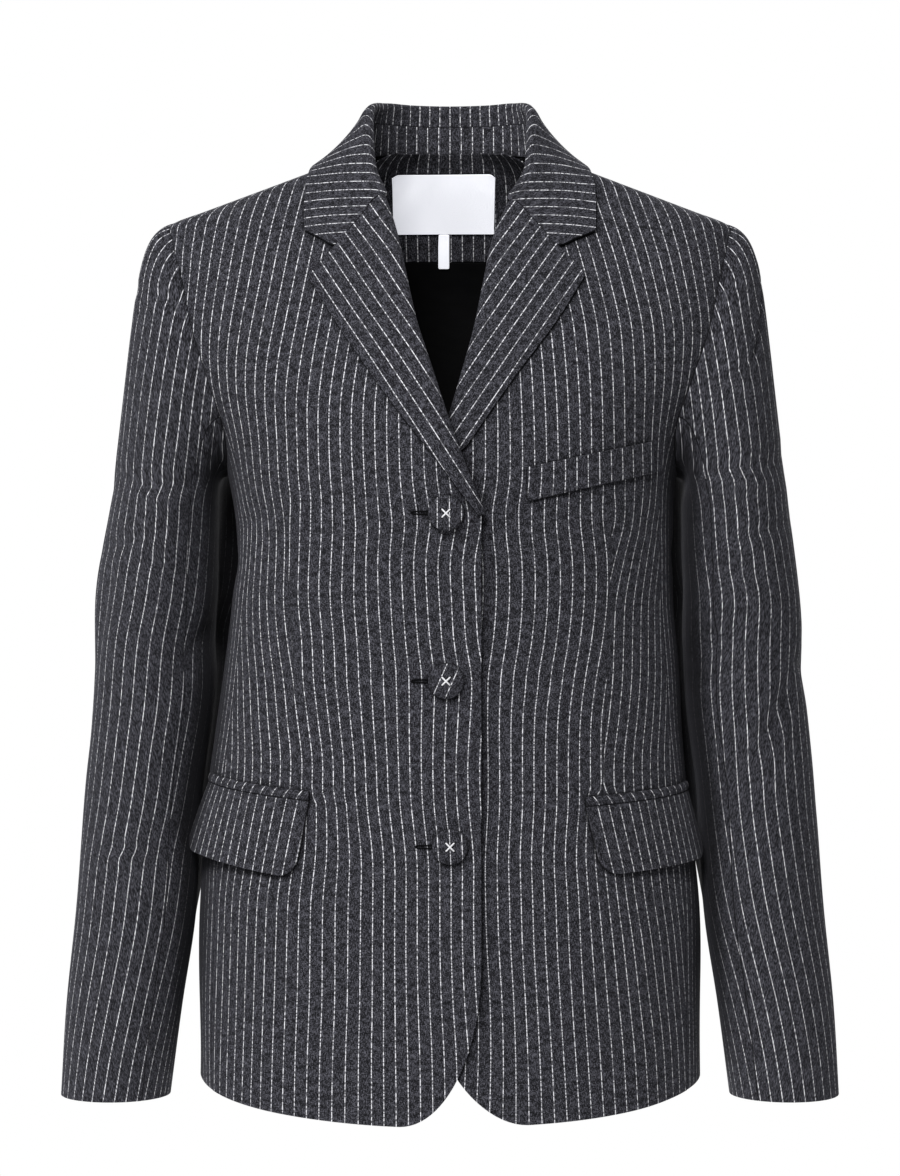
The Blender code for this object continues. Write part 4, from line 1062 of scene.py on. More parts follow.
def lapel_plan(side):
    """The lapel seen flat, as x, z and lift: it wraps the roll edge and lies out to the lapel's edge."""
    rise = between(0.0, 1.0, LAPEL_ROWS[side])
    roll_z = roll_heights(LAPEL_STEPS)[-len(rise) :].copy()
    roll_z[-1] -= SEAM
    roll = np.stack([roll_x(roll_z, side), roll_z], axis=-1)
    corners = np.array(LAPEL_EDGE[side][::-1])
    run = run_along(corners)
    edge = smooth(rise, run / run[-1], corners)
    along = np.gradient(roll, axis=0)
    out = SIDES[side] * unit(np.stack([along[:, 1], -along[:, 0]], axis=-1))
    reach = INSIDE_SHARE * np.linalg.norm(edge - roll, axis=1)
    squeeze = np.minimum(1.0, reach / WRAP)[:, None]
    wrap = [roll + out * point.along * (squeeze if point.along > 0 else 1.0) for point in LAPEL_ROLL]
    shares = between(0.0, 1.0, LAPEL_ACROSS)[1:]
    plan = np.stack(wrap + [wrap[-1] + (edge - wrap[-1]) * share for share in shares], axis=1)
    plan[-1, :INSIDE_COLUMNS, 1] -= GORGE_EASE / 2
    crest = LAPEL_ROLL[-1].lift
    lift = np.concatenate([table(LAPEL_ROLL, "lift"), crest + (LAPEL_EDGE_LIFT - crest) * shares])
    flat = step(*LEFT_FLAT_Z, roll_z)[:, None] if side == "left" else 1.0
    lift = np.minimum(lift, LAPEL_EDGE_LIFT + (lift - LAPEL_EDGE_LIFT) * flat) + 0.0 * plan[..., 0]
    return plan[..., 0], plan[..., 1], lift


def sewn_free(name, face, flip, cloth, **rest):
    """A shell whose inner face lies a wall behind an outer one that leaves the form."""
    sew(name, face, face - normals(face, flip) * WALL, cloth, looks=(FLANNEL, FLANNEL), **rest)


def lapel_cloth(side, x, z):
    """Stripes run with the outer edge: `across` is the distance from the line through its ends."""
    tip, low = (np.array(LAPEL_EDGE[side][i]) for i in (0, 2))
    way = (low - tip) / np.linalg.norm(low - tip)
    off_x, off_z = x - SIDES[side] * abs(tip[0]), z - tip[1]
    return off_x * way[1] - off_z * way[0] + LAPEL_FIRST, off_x * way[0] + off_z * way[1]


for side, sign in SIDES.items():
    plan = resample(resample(np.stack(lapel_plan(side), axis=-1), LAPEL_FINE), DETAIL, axis=0)
    x, z, lift = np.moveaxis(plan, -1, 0)
    across, along = lapel_cloth(side, x, z)
    if side == "right":
        lift = lift + LAPEL_OVER * np.exp(-(((z - LAPEL_OVER_Z) / LAPEL_OVER_REACH) ** 2))
    sewn_free(f"lapel_{side}", on_front(x, z, side, lift), sign, (across, along), seams="t")

# %% [markdown]
# ## Collar and stand
#
# The top collar comes up inside the neck, folds over and falls to an edge that just covers the neck seam.
# Its stripes stand upright at the centre back, so round at the front they lie almost level and meet the
# lapel's slanting ones along the gorge seam in a row of points. The stand is the strip below the fold.

# %% The collar as sections from gorge to gorge
COLLAR_LEVEL = 0.3  # behind, the run is mixed with the leaf's middle one by this share
COLLAR_MIDDLE = 49  # the column half way down the leaf
FOLD_COLUMN = 24  # and the one on the fold
FRONT_Z = (-0.015, 0.029)  # below these heights of the leaf's middle the stripes lie level
FOLD_DIP, EDGE_DIP = 3.0 * MM, 2.5 * MM  # there they sink by this towards the fold and the outer edge
BELOW, ABOVE = 0.04, 0.06  # the run is carried on by these heights below the gorge and above the back
LEVEL_SLOPE = 1.7  # and counts no more than this times the height, so that the stripes stay apart
STATION_STEPS = 12  # between two of the collar's stations
STAND_ACROSS, STAND_STEPS = 12, 108
STAND_GROW = 0.6 * MM  # the stand is drawn up to the collar and down to the neck seam by this


def gorge_row(side):
    """The collar's end: beside the lapel's top as far as the notch, then out to the collar's corner."""
    x, z, lift = (values[-1].copy() for values in lapel_plan(side))
    z += 3 * SEAM
    z[:INSIDE_COLUMNS] += GORGE_EASE * 1.5
    x[0] = x[1]
    notch = len(LAPEL_ROLL) - 1 + NOTCH_STEP
    share = np.linspace(0.0, 1.0, len(x) - notch)
    x[notch:] = x[notch] + (SIDES[side] * COLLAR_CORNER_X - x[notch]) * share
    z[notch:] = z[notch] + (COLLAR_CORNER_Z - z[notch]) * share
    return on_front(x, z, side, lift)


def collar_frames():
    """The stations from the right to the left: fold, neck seam, edge, and the up and outward directions."""
    rows = [(SIDES["right"], station) for station in COLLAR[:0:-1]] + [(SIDES["left"], s) for s in COLLAR]
    fold = np.array([(sign * s.fold_x, s.fold_y, s.fold_z) for sign, s in rows])
    edge = np.array([body(sign * s.edge_angle, s.edge_z, s.edge_lift) for sign, s in rows])
    names = {-1.0: "right", 1.0: "left"}
    base = np.array([body(*neckline(names[sign], s.neckline)) for sign, s in rows])
    up = unit(fold - base)
    out = unit(np.cross(up, np.gradient(fold, axis=0)))
    return fold, base, edge, up, out


def collar_strip(fold, base):
    """How far the top collar runs down inside the fold at each station."""
    return np.minimum(COLLAR_STRIP, STRIP_SHARE * np.linalg.norm(fold - base, axis=1))[:, None]


def clear_of_front(points, wrap_columns):
    """Brings the part of the collar that lies on the chest at least its own thickness off it."""
    x, y, z = np.moveaxis(points, -1, 0)
    over_front = (np.abs(x) < CHEST_SHARE * half_width(x, z)) & (y < 0.0)
    over_front[:, :wrap_columns] = False
    face = on_form(angle_at(x, z), z)[..., 1] - COLLAR_CLEAR
    return np.stack([x, np.where(over_front, np.minimum(y, face), y), z], axis=-1)


def stand_points():
    """The collar stand's inner face: from the neck seam up to the top collar."""
    fold, base, _, up, out = collar_frames()
    foot = base + up * 5 * SEAM - out * (WALL + 2 * SEAM)
    head = fold - up * (collar_strip(fold, base) + 4 * SEAM)
    sections = np.stack([foot + (head - foot) * share for share in between(0.0, 1.0, STAND_ACROSS)], axis=1)
    stations = np.arange(len(sections))
    middle = (len(sections) - 1) / 2
    at = between(middle - STAND_END, middle + STAND_END, STAND_STEPS)
    return smooth(at, stations, sections)


def run_from_middle(points):
    """Length along each column of a grid, from its middle row."""
    run = run_along(points)
    return run - run[len(run) // 2]

# %% Stripes of the collar
def collar_stripes(face):
    """Across the collar's stripes: behind it is the run from the centre back.

    In front it is the run that the leaf's middle has at the point's own height, which lays the stripes level
    with a slight arch. Its steps are the smaller one of the middle's run and LEVEL_SLOPE times its rise.
    """
    run = run_from_middle(face)
    leaf, height = run[:, COLLAR_MIDDLE], face[:, COLLAR_MIDDLE, 2]
    columns = np.arange(face.shape[1])
    share = np.clip((columns - COLLAR_MIDDLE) / (columns[-1] - COLLAR_MIDDLE), 0, 1)
    folded = np.clip((COLLAR_MIDDLE - columns) / (COLLAR_MIDDLE - FOLD_COLUMN), 0, 1)
    z = face[:, np.maximum(columns, FOLD_COLUMN), 2] + FOLD_DIP * folded**2 + EDGE_DIP * share**2
    middle = len(face) // 2
    level = np.empty_like(run)
    for half, way in ((slice(0, middle + 1), -1.0), (slice(None, middle - 1, -1), 1.0)):
        heights = np.maximum.accumulate(height[half])
        steps = np.minimum(np.abs(np.diff(leaf[half])), LEVEL_SLOPE * np.diff(heights))
        counted = np.concatenate([[-BELOW], [0.0], np.cumsum(steps), [steps.sum() + LEVEL_SLOPE * ABOVE]])
        runs = leaf[half][0] - way * counted
        heights = np.concatenate([[heights[0] - BELOW], heights, [heights[-1] + ABOVE]])
        level[half] = np.interp(z[half], heights, runs)
    back = run + COLLAR_LEVEL * (leaf[:, None] - run)
    front = (1 - step(*FRONT_Z, height))[:, None]
    return back + front * (level - back)

# %% Sewing the collar and its stand
def fine_collar():
    """The collar's sections, from gorge to gorge, with smooth curves through them both ways."""
    fold, base, edge, up, out = collar_frames()
    strip = collar_strip(fold, base)
    wrap = [fold - up * (point.strip * strip + point.down) + out * point.out for point in COLLAR_FOLD]
    shares = between(0.0, 1.0, LAPEL_ACROSS)[1:]
    swell = unit(np.cross(np.gradient(fold, axis=0), edge - wrap[-1])) * COLLAR_BULGE
    fall = [wrap[-1] + (edge - wrap[-1]) * s - swell * 4 * s * (1 - s) for s in shares]
    sections = np.stack(wrap + fall, axis=1)
    sections = np.concatenate([[gorge_row("right")], sections, [gorge_row("left")]])
    index = between(0.0, len(sections) - 1.0, STATION_STEPS * (len(sections) - 1))
    rows = smooth(index, np.arange(len(sections)), sections)
    fine = resample(rows, LAPEL_FINE)
    return clear_of_front(fine, (len(LAPEL_ROLL) - 1) * LAPEL_FINE + 1)


face = fine_collar()
sewn_free("collar", face, -1.0, (collar_stripes(face), run_along(face, 1)), seams="i")
face = stand_points()
share = np.linspace(0.0, 1.0, face.shape[1])[None, :, None]
face = face + unit(face[:, -1:] - face[:, :1]) * (STAND_GROW * share - STAND_GROW * (1 - share))
sewn_free("collar_stand", face, -1.0, (run_from_middle(face), run_along(face, 1)), seams="io")

# %% [markdown]
# ## Inside the neck
#
# Through the open neck shows the back's inside: a flannel facing with upright stripes, the black lining
# below it, a bare white label held by stitches at its ends, and a small tab under it.

# %% Facing, lining, label and tab
FACING_FOOT_Z = -0.0580
FACING_ANGLE = 62.0  # the facing spans this far on each side of the centre back
LINING_FOOT_Z = -0.6250
LABEL_BOX = (-0.0425, 0.0330, -0.0402, 0.0022)  # x from, x to, z from, z to
TAB_BOX = (-0.0081, -0.0005, -0.0660, -0.0406)
FACING_RISE = 2.8 * MM  # the facing reaches this far above the neck seam, over the stand's foot
FACING_SIDES = 3.5 * MM  # and this much more at its ends
LABEL_RISE, LABEL_WIDER = 3.4 * MM, 1.08
LABEL_PUFF = 0.9 * MM  # the label lies slack between its stitched ends
PUFF_CHANGE, PUFF_RATE, PUFF_PHASE = 0.35, 0.6, 1.0  # the slack's share of change, by a sine of the angle
FACING_STEPS, LINING_STEPS = (16, 70), (90, 60)  # of the grids, up and across


def inside_back(z_from, z_to, steps_up, steps_across):
    """A piece of the back's inner skin, from one height to another or up to the neck seam."""
    angle = 180.0 + between(-FACING_ANGLE, FACING_ANGLE, steps_across)
    behind = 1 - np.abs(angle - 180.0) / 90.0
    neck_z = BACK_NECK_Z + (NECK_POINT_Z - BACK_NECK_Z) * (1 - behind) ** 2 - 2 * SEAM
    head = neck_z if z_to is None else z_to + 0 * angle
    rise = between(0.0, 1.0, steps_up)[:, None]
    return angle + 0 * rise, z_from + (head - z_from) * rise


def inside_box(box, steps_up, steps_across):
    """A small flat piece on the back's inside, by its x and z limits."""
    x = between(box[0], box[1], steps_across) + 0 * between(0.0, 1.0, steps_up)[:, None]
    z = between(box[2], box[3], steps_up)[:, None] + 0 * x
    return 180.0 - angle_at(x, z), z


skin = WALL + EASE
angle, z = inside_back(FACING_FOOT_Z, None, *FACING_STEPS)
rise = FACING_RISE + FACING_SIDES * np.abs((angle - 180.0) / FACING_ANGLE)
z = FACING_FOOT_Z + (z - FACING_FOOT_Z) * (1 + rise / (z[-1] - FACING_FOOT_Z))
beyond = angle > 180.0
run, half = arc(angle - 360.0 * beyond, z), arc(180.0, z)
cloth = (np.where(beyond, run + half, run - half), z)
sew_on_form(
    "back_neck_facing", (angle, z, 0.0), cloth, LINING_WALL, skin, looks=(FLANNEL, FLANNEL), seams="tf"
)
angle, z = inside_back(LINING_FOOT_Z, FACING_FOOT_Z - 2 * SEAM, *LINING_STEPS)
cloth = (np.radians(angle) * CREASE_RADIUS, z)
sew_on_form("back_lining", (angle, z, 0.0), cloth, LINING_WALL, skin, looks=(LINING, LINING))
skin += LINING_WALL + 3 * LAYER
# name, box, steps up and across, and the radius of the corners
labels = (("neck_label", LABEL_BOX, (16, 96), 2.2 * MM), ("size_tab", TAB_BOX, (14, 8), 0.6 * MM))
for name, limits, steps, corner in labels:
    angle, z = inside_box((limits[0] * LABEL_WIDER, limits[1] * LABEL_WIDER, *limits[2:]), *steps)
    middle, width, height = (limits[2] + limits[3]) / 2, limits[1] - limits[0], limits[3] - limits[2]
    end = np.minimum(np.linspace(0, 1, z.shape[1]), np.linspace(1, 0, z.shape[1])) * width
    inset = corner - np.sqrt(np.maximum(corner**2 - np.maximum(corner - end, 0.0) ** 2, 0.0))
    z = middle + LABEL_RISE + (z - middle) * (1 - 2 * inset / height)
    share_up = (z - LABEL_RISE - limits[2]) / height
    puff = LABEL_PUFF * np.sin(np.pi * np.clip(share_up, 0, 1)) * (
        1 + PUFF_CHANGE * np.sin(angle * PUFF_RATE + PUFF_PHASE)
    )
    sew_on_form(name, (angle, z, -puff), (arc(angle, z), z), LABEL_WALL, skin, looks=(SATIN, SATIN), seams="")

# %% [markdown]
# ## Sleeves
#
# A tailored sleeve is two pieces: a wide top sleeve and a narrow under sleeve. Its cap is fuller than the
# armhole and is eased in, so the shoulder line rounds over before the sleeve falls. The tube is a stack of
# level sections with the cap bent into the armhole by cubic curves. The elbow's folds are listed one by one,
# large ones in the sections themselves, small kinks and puckers as moves along the surface's own normal.

# %% Measures and folds of the sleeves
# Level sections: height, centre, half sizes, and the tuck that draws the back in behind the body
SLEEVE = rows_of(
    "z mid_x half_width mid_y half_depth tuck",
    (-245, 205, 38.5, 0, 74, 20),
    (-310, 209.2, 42.5, 2, 71, 36),
    (-380, 212.6, 43.8, 4, 67, 36),
    (-445, 219.5, 42.5, -2, 63, 24),
    (-530, 224.3, 43.2, -12, 58, 8),
    (-600, 232.5, 41.2, -22, 54, 0),
    (-662, 237.8, 38.8, -30, 50, 0),
)
CAP_PUSH = 0.0260  # how far the cap leaves the armhole before it bends down
CAP_LEAN, CAP_DROP = 0.30, 0.24  # its way out there leans to the front or back, and down, by these
CAP_LOW = 0.35  # at the underarm the bend is this share of the one at the top
CAP_RISE = 0.80  # and the second bend starts this share of the way back up, at the top
CAP_SPREAD = 0.020  # drawn in towards the body by this
TUCK_SPREAD = -0.5  # share of the tuck that starts at the arm's side; below 0 it stays well behind
SLEEVE_RADIUS = 0.055  # mean radius, to measure the folds' run round the sleeve
CAP_STEPS, ARM_STEPS = 36, 108  # of the grid, down the cap and down the arm


def folds(*rows):
    """Folds of a sleeve: where each lies, how it leans, and how long, wide and deep it is."""
    return rows_of("z angle tilt length width depth", *rows, plain="angle tilt")


SLEEVE_FOLDS = {
    "right": folds(
        (-232, 62, -12, 80, 17, -3),
        (-300, 8, 84, 90, 18, 3.5),
        (-345, 140, 25, 60, 17, -3.5),
        (-487, 105, 10, 55, 17, -2.8),
        (-330, 215, 20, 80, 17, -3.2),
        (-420, 320, 15, 70, 18, -3),
    ),
    "left": folds(
        (-222, 75, 12, 80, 17, -3.2),
        (-345, 125, -30, 60, 17, -3.5),
        (-402, 60, -58, 80, 17, -3.8),
        (-362, 5, 10, 40, 19, -3),
        (-315, 220, -18, 80, 17, -3.2),
        (-440, 315, -20, 70, 18, -3),
    ),
}
SMALL_FOLDS = {
    "right": folds(
        (-229, 96, 3, 130, 6, -1.7),
        (-240, 84, -3, 110, 6, 1.1),
        (-270, 60, 10, 70, 6, -1.2),
        (-286, 110, -8, 80, 7, -1.2),
        (-226, 20, 8, 60, 6, -1.4),
        (-96, 58, -20, 30, 4, -1.2),
        (-104, 38, 25, 30, 4, -1),
        (-90, 18, -10, 30, 4.5, -1),
        (-486, 92, -5, 45, 4.5, -1.4),
        (-493, 80, 6, 35, 5, 0.9),
        (-335, 150, 40, 60, 7, -1.8),
        (-390, 120, 62, 80, 8, 1.2),
        (-325, 30, 74, 70, 7, -1.4),
        (-310, 250, 8, 80, 8, -2.6),
        (-342, 285, -10, 90, 8, -2.4),
        (-375, 255, 12, 80, 9, -2),
        (-410, 290, -4, 70, 8, -1.8),
        (-170, 268, 84, 90, 9, -2.2),
        (-560, 285, 70, 100, 10, -1.4),
    ),
    "left": folds(
        (-218, 96, -6, 120, 5.5, -2),
        (-229, 84, 4, 100, 6, 1.2),
        (-262, 70, -8, 80, 6, -1.3),
        (-289, 112, 9, 70, 7, -1.2),
        (-214, 24, -6, 60, 6, -1.4),
        (-112, 36, -58, 95, 3, -2.4),
        (-115, 42, -58, 90, 3.4, 1.7),
        (-144, 66, -28, 45, 3.2, -1.8),
        (-86, 62, 30, 30, 4, -1),
        (-336, 128, -20, 50, 6, -2),
        (-364, 148, 12, 50, 6, -1.8),
        (-395, 72, -50, 80, 7, -1.8),
        (-408, 58, -52, 80, 8, 1.2),
        (-358, 18, 12, 40, 7, -1.8),
        (-315, 252, -10, 80, 8, -2.6),
        (-348, 288, 8, 90, 8, -2.4),
        (-382, 258, -9, 80, 9, -2),
        (-418, 292, 6, 70, 8, -1.8),
        (-174, 272, 95, 90, 9, -2.2),
        (-550, 288, 108, 100, 10, -1.4),
    ),
}


def tucks(*rows):
    """Tucks of a sleeve's back: each one's middle, its reach up and round, and how far in it goes."""
    return rows_of("z height turn reach by", *rows, plain="turn reach")


# The sleeve's back rolls in behind the waist, and again behind the pocket
TUCKS = {
    "right": tucks((-262, 70, 240, 26, 18), (-470, 95, 236, 28, 12)),
    "left": tucks((-255, 60, 240, 26, 11), (-450, 95, 236, 28, 12.5)),
}
SLEEVE_CLEAR, SLEEVE_SOFT = 2.4 * MM, 1.2 * MM  # the sleeve hangs at least this far off the body's form
SLEEVE_JOG = 1.0  # the folds push the stripes aside by this many times their depth
CAP_CLOSE = 0.45 * MM  # the cap's edge is drawn up to the armhole
HELD_ROWS = 9.0  # over this many of its first rows the sleeve is held by the armhole's seam
print([len(SLEEVE_FOLDS[side] + SMALL_FOLDS[side]) for side in SIDES], "folds on the sleeves")

# %% The tube of a sleeve
def sleeve_section(side, turn, z):
    """A level section of the arm, moved in or out by the folds."""
    sizes = {name: at_height(z, SLEEVE, name) for name in SLEEVE[0]._fields[1:]}
    c, s = np.cos(np.radians(turn)), np.sin(np.radians(turn))
    depth = fold_depth(side, turn, z)
    behind = np.clip(-s, 0.0, 1.0)
    tuck = sizes["tuck"] * (TUCK_SPREAD * behind + (1 - TUCK_SPREAD) * behind**2)
    x = sizes["mid_x"] + (sizes["half_width"] + depth) * c - tuck
    y = sizes["mid_y"] - (sizes["half_depth"] + depth) * s
    return np.stack(np.broadcast_arrays(SIDES[side] * x, y, z), axis=-1)


def sleeve_points(side, turns):
    """A sleeve's tube: the cap bends from the armhole to the first section, and the arm hangs from there."""
    sign = SIDES[side]
    top = np.cos(np.radians(turns) / 2)[:, None] ** 2
    hole_angle, hole_z = armhole(turns)
    start = body(sign * hole_angle, hole_z)
    end = sleeve_section(side, turns, np.full(len(turns), SLEEVE[0].z))
    lean = np.sin(np.radians(turns))
    push = unit(np.stack([sign + 0 * lean, -CAP_LEAN * lean, -CAP_DROP + 0 * lean], axis=-1))
    start = start + push * 3 * SEAM
    first = start + push * CAP_PUSH * (CAP_LOW + (1 - CAP_LOW) * top)
    rise = (start[:, 2:] - end[:, 2:]) * (CAP_LOW + (CAP_RISE - CAP_LOW) * top)
    second = end + np.concatenate([-sign * CAP_SPREAD * top, 0 * top, rise], axis=1)
    t = between(0.0, 1.0, CAP_STEPS)[:, None, None]
    cap = (1 - t) ** 3 * start + 3 * t * (1 - t) ** 2 * first + 3 * t**2 * (1 - t) * second + t**3 * end
    z = between(SLEEVE[0].z, SLEEVE[-1].z, ARM_STEPS)[1:, None]
    return np.concatenate([cap, sleeve_section(side, turns[None, :], z)])


def trim(points):
    """Draws a grid's first and last column in by the seam's half gap."""
    for end, inside in ((0, 1), (-1, -2)):
        points[:, end] += unit(points[:, inside] - points[:, end]) * SEAM
    return points


def fold_depth(side, angle, z):
    return crease_depth(SLEEVE_FOLDS[side], SLEEVE_RADIUS, angle, z)

# %% How the stripes run on the sleeves
# Stripes of the sleeves: where the reference stripe lies at each height, as a turn
TWIST = rows_of(
    "z right left",
    (0, 111, 106),
    (-282, 111, 106),
    (-311, 108, 103),
    (-340, 102, 106),
    (-397, 99, 109),
    (-455, 96.5, 113),
    (-498, 88, 108),
    (-556, 84, 99.5),
    (-599, 79.5, 93),
    (-635, 74, 88),
    (-670, 70, 85),
    plain="right left",
)
# On the armhole the same stripe meets the ring this many degrees short of where it runs below
DRAW = rows_of(
    "turn by",
    (-130, 0),
    (-20, 0),
    (20, 1),
    (34.5, 4),
    (39.8, 12),
    (46.2, 16),
    (53, 18),
    (60.7, 18),
    (69.8, 18.5),
    (80.6, 17),
    (94.9, 10.5),
    (108.6, 6),
    (123, 5),
    plain="turn by",
)
# The shoulder's and arm's outer line seen from the front; the cap's stripes keep their distance from it
OUTLINE = rows_of(
    "z x",
    (-38, 196),
    (-44.6, 206),
    (-51.1, 214.6),
    (-62.6, 218.4),
    (-82.8, 221.4),
    (-102.2, 224.4),
    (-162, 233.3),
    (-221.8, 240.3),
    (-245, 243.5),
)
STEEP = 0.60  # past this share of the arm's half width the count grows evenly
DRAW_POWER = 1.4  # how quickly that draw fades down the cap
HOOKED, HOOK_Z = 0.6, (-0.125, -0.080)  # above these heights the draw hooks the stripes by this share
SEEN_FROM, SEEN_TO, SEEN_FADE = (10.0, 35.0), (140.0, 165.0), 0.35  # turns where the outline guides them
REFERENCE_TURN = 107.5
FRONT_TURNS, BACK_TURNS = (5.0, 35.0), (160.0, 200.0)  # between them stripes are counted evenly by turn
STRIPE_TURN = 11.9  # degrees between two stripes there
ARM_HALF_WIDTH, ARM_HALF_DEPTH = 0.0425, 0.0600


def stripes_round(turn):
    """Stripes counted round the sleeve from the reference.

    In front they are the turn over 11.9 degrees, and outside and behind the ellipse's arc over the pitch.
    """
    at = np.linspace(-140.0, 260.0, 401)
    ellipse = np.hypot(ARM_HALF_WIDTH * np.sin(np.radians(at)), ARM_HALF_DEPTH * np.cos(np.radians(at)))
    even = step(*FRONT_TURNS, at) * (1 - step(*BACK_TURNS, at))
    rate = even / STRIPE_TURN + (1 - even) * np.radians(1.0) * ellipse / STRIPE_PITCH
    count = np.concatenate([[0.0], np.cumsum((rate[1:] + rate[:-1]) / 2)])
    return np.interp(turn, at, count) - np.interp(REFERENCE_TURN, at, count)


def seen_turn(tube):
    """The turn at which the arm's ellipse has the same distance from its outline, seen from the front.

    It is 90 degrees plus the arc sine of that distance's share, carried on straight past its steep part.
    """
    half = SLEEVE[0].half_width
    share = (at_height(tube[..., 2], OUTLINE, "x") - np.abs(tube[..., 0])) / half - 1
    bounded = np.clip(share, -STEEP, STEEP)
    return 90.0 + np.degrees(np.arcsin(bounded) + (share - bounded) / np.sqrt(1 - STEEP**2))


def sleeve_cloth(side, turns, tube):
    """Across the stripes: the count at the turn, shifted by the twist below and by the cap's draw above.

    On the cap the turn is the one seen from the front or back, so that the stripes end on the armhole.
    """
    z = tube[..., 2]
    level = np.minimum(z, SLEEVE[0].z) * np.ones_like(z)
    share = np.linspace(1.0, 0.0, CAP_STEPS + 1)
    fade = np.concatenate([share**DRAW_POWER, np.zeros(len(z) - CAP_STEPS - 1)])[:, None]
    drawn = np.interp(turns, table(DRAW, "turn"), table(DRAW, "by"))[None, :] * fade
    off = np.abs(turns)
    seen = step(*SEEN_FROM, off) * (1 - step(*SEEN_TO, off)) * step(0.0, SEEN_FADE, fade)
    seen = seen * (1 - HOOKED * step(*HOOK_Z, z))
    turned = turns[None, :] + drawn * (1 - seen)
    turned = turned + seen * (np.sign(turns) * seen_turn(tube) - turned)
    twisted = turned + REFERENCE_TURN - at_height(level, TWIST, side)
    return stripes_round(twisted) * STRIPE_PITCH, -run_along(tube)


print(round(float(stripes_round(180.0) - stripes_round(0.0)), 1), "stripes on the front half of an arm")

# %% Sewing the four pieces of the sleeves
def off_the_body(tube, share):
    """Sleeve points moved out sideways, by a share, till they clear the body.

    The body's level section is |x / width|^n + |y / depth|^n = 1, which gives the limit of x for each y.
    It is rounded off: the new x is limit + soft * log(1 + e^((x - limit) / soft)).
    """
    x, y, z = np.moveaxis(tube, -1, 0)
    depth = np.where(y < 0, at_height(z, BODY, "front"), at_height(z, BODY, "back"))
    width = half_width(x, z) * np.clip(1 - np.abs(y / depth) ** ROUNDNESS, 0, 1) ** (1 / ROUNDNESS)
    limit, out = width + SLEEVE_CLEAR, np.abs(x)
    clear = limit + SLEEVE_SOFT * np.logaddexp(0.0, (out - limit) / SLEEVE_SOFT)
    return np.stack([np.sign(x) * (out + share * (clear - out)), y, z], axis=-1)


front_turns, under_turns, back_turns = armhole_turns()
turns = np.concatenate([front_turns, under_turns[1:], back_turns[1:]])
first, last = len(front_turns) - 1, len(front_turns) + len(under_turns) - 2
UNDER_SLANT = 0.030  # the under sleeve's stripes run in towards the seam, down the arm
for side, sign in SIDES.items():
    tube = sleeve_points(side, turns)
    tube[0] += unit(tube[0] - tube[1]) * CAP_CLOSE
    away = step(0.0, HELD_ROWS, np.arange(len(tube), dtype=float))[:, None]
    for tuck in TUCKS[side]:
        off, round_by = (tube[..., 2] - tuck.z) / tuck.height, (turns % 360 - tuck.turn) / tuck.reach
        tube[..., 0] -= sign * tuck.by * np.exp(-(off**2) - round_by**2) * away
    wrapped = np.concatenate([tube[:, -2:-1], tube, tube[:, 1:2]], axis=1)
    normal = normals(wrapped, sign)[:, 1:-1]
    small = crease_depth(SMALL_FOLDS[side], SLEEVE_RADIUS, turns[None, :], tube[..., 2])
    tube = off_the_body(tube + normal * (small * away)[..., None], away)
    inner = tube - normal * WALL
    signed_turns = np.concatenate([turns[last:-1] - 360.0, turns[: first + 1]])
    layers = (tube, inner, SLEEVE_JOG * small)
    joined = [np.concatenate([layer[:, last:-1], layer[:, : first + 1]], axis=1) for layer in layers]
    across, along = sleeve_cloth(side, signed_turns, joined[0])
    sew(f"top_sleeve_{side}", trim(joined[0]), trim(joined[1]), (across + joined[2], along), seams="fio")
    below = [layer[:, first : last + 1].copy() for layer in layers]
    across, along = sleeve_cloth(side, turns[first : last + 1], below[0])
    cloth = (across + below[2] + STRIPE_PITCH / 2 - UNDER_SLANT * along, along)
    sew(f"under_sleeve_{side}", trim(below[0]), trim(below[1]), cloth, seams="fio")

# %% [markdown]
# ## Pockets
#
# Each hip pocket has a flap that hangs from a narrow jet, a strip cut on the bias so that its stripes slant.
# The flaps stand off a little towards the side. The breast pocket is a slanted welt, whose stripes miss
# those of the front by half a space.

# %% Measures and grids of the pockets
# Pockets: corners on the form as x and z, the strip above each flap, and how far the flap stands off
FLAP = by_side(
    "in_x in_top_z out_angle out_top_z in_foot_x in_foot_z out_foot_angle out_foot_z flare",
    (95, -449.5, 76, -440, 106, -503, 77, -487, 11),
    (93, -453.5, 76, -446, 104, -501, 77, -493, 5),
    plain="out_angle out_foot_angle",
)
JET_HEIGHT = 0.0065
JET_BIAS, JET_ROUND = np.radians(32.0), 0.8 * MM  # its stripes' slant, and how far its middle stands up
FLAP_LIFT = 0.0026  # outer face off the front
FLAP_CORNER = 0.014
FLAP_SAG = 0.0015  # the flap's foot hangs this much further off
FLARE_POWER = 1.5
FLAP_SIZE = (0.117, 0.055)
FLAP_ACROSS, FLAP_DOWN, JET_UP = 48, 18, 6  # steps of the grids
WELT_ACROSS, WELT_UP = 36, 12
(WELT,) = rows_of(
    "in_x in_foot_z in_top_z out_x out_foot_z out_top_z", (53, -243, -219.5, 141, -222.1, -199.8)
)


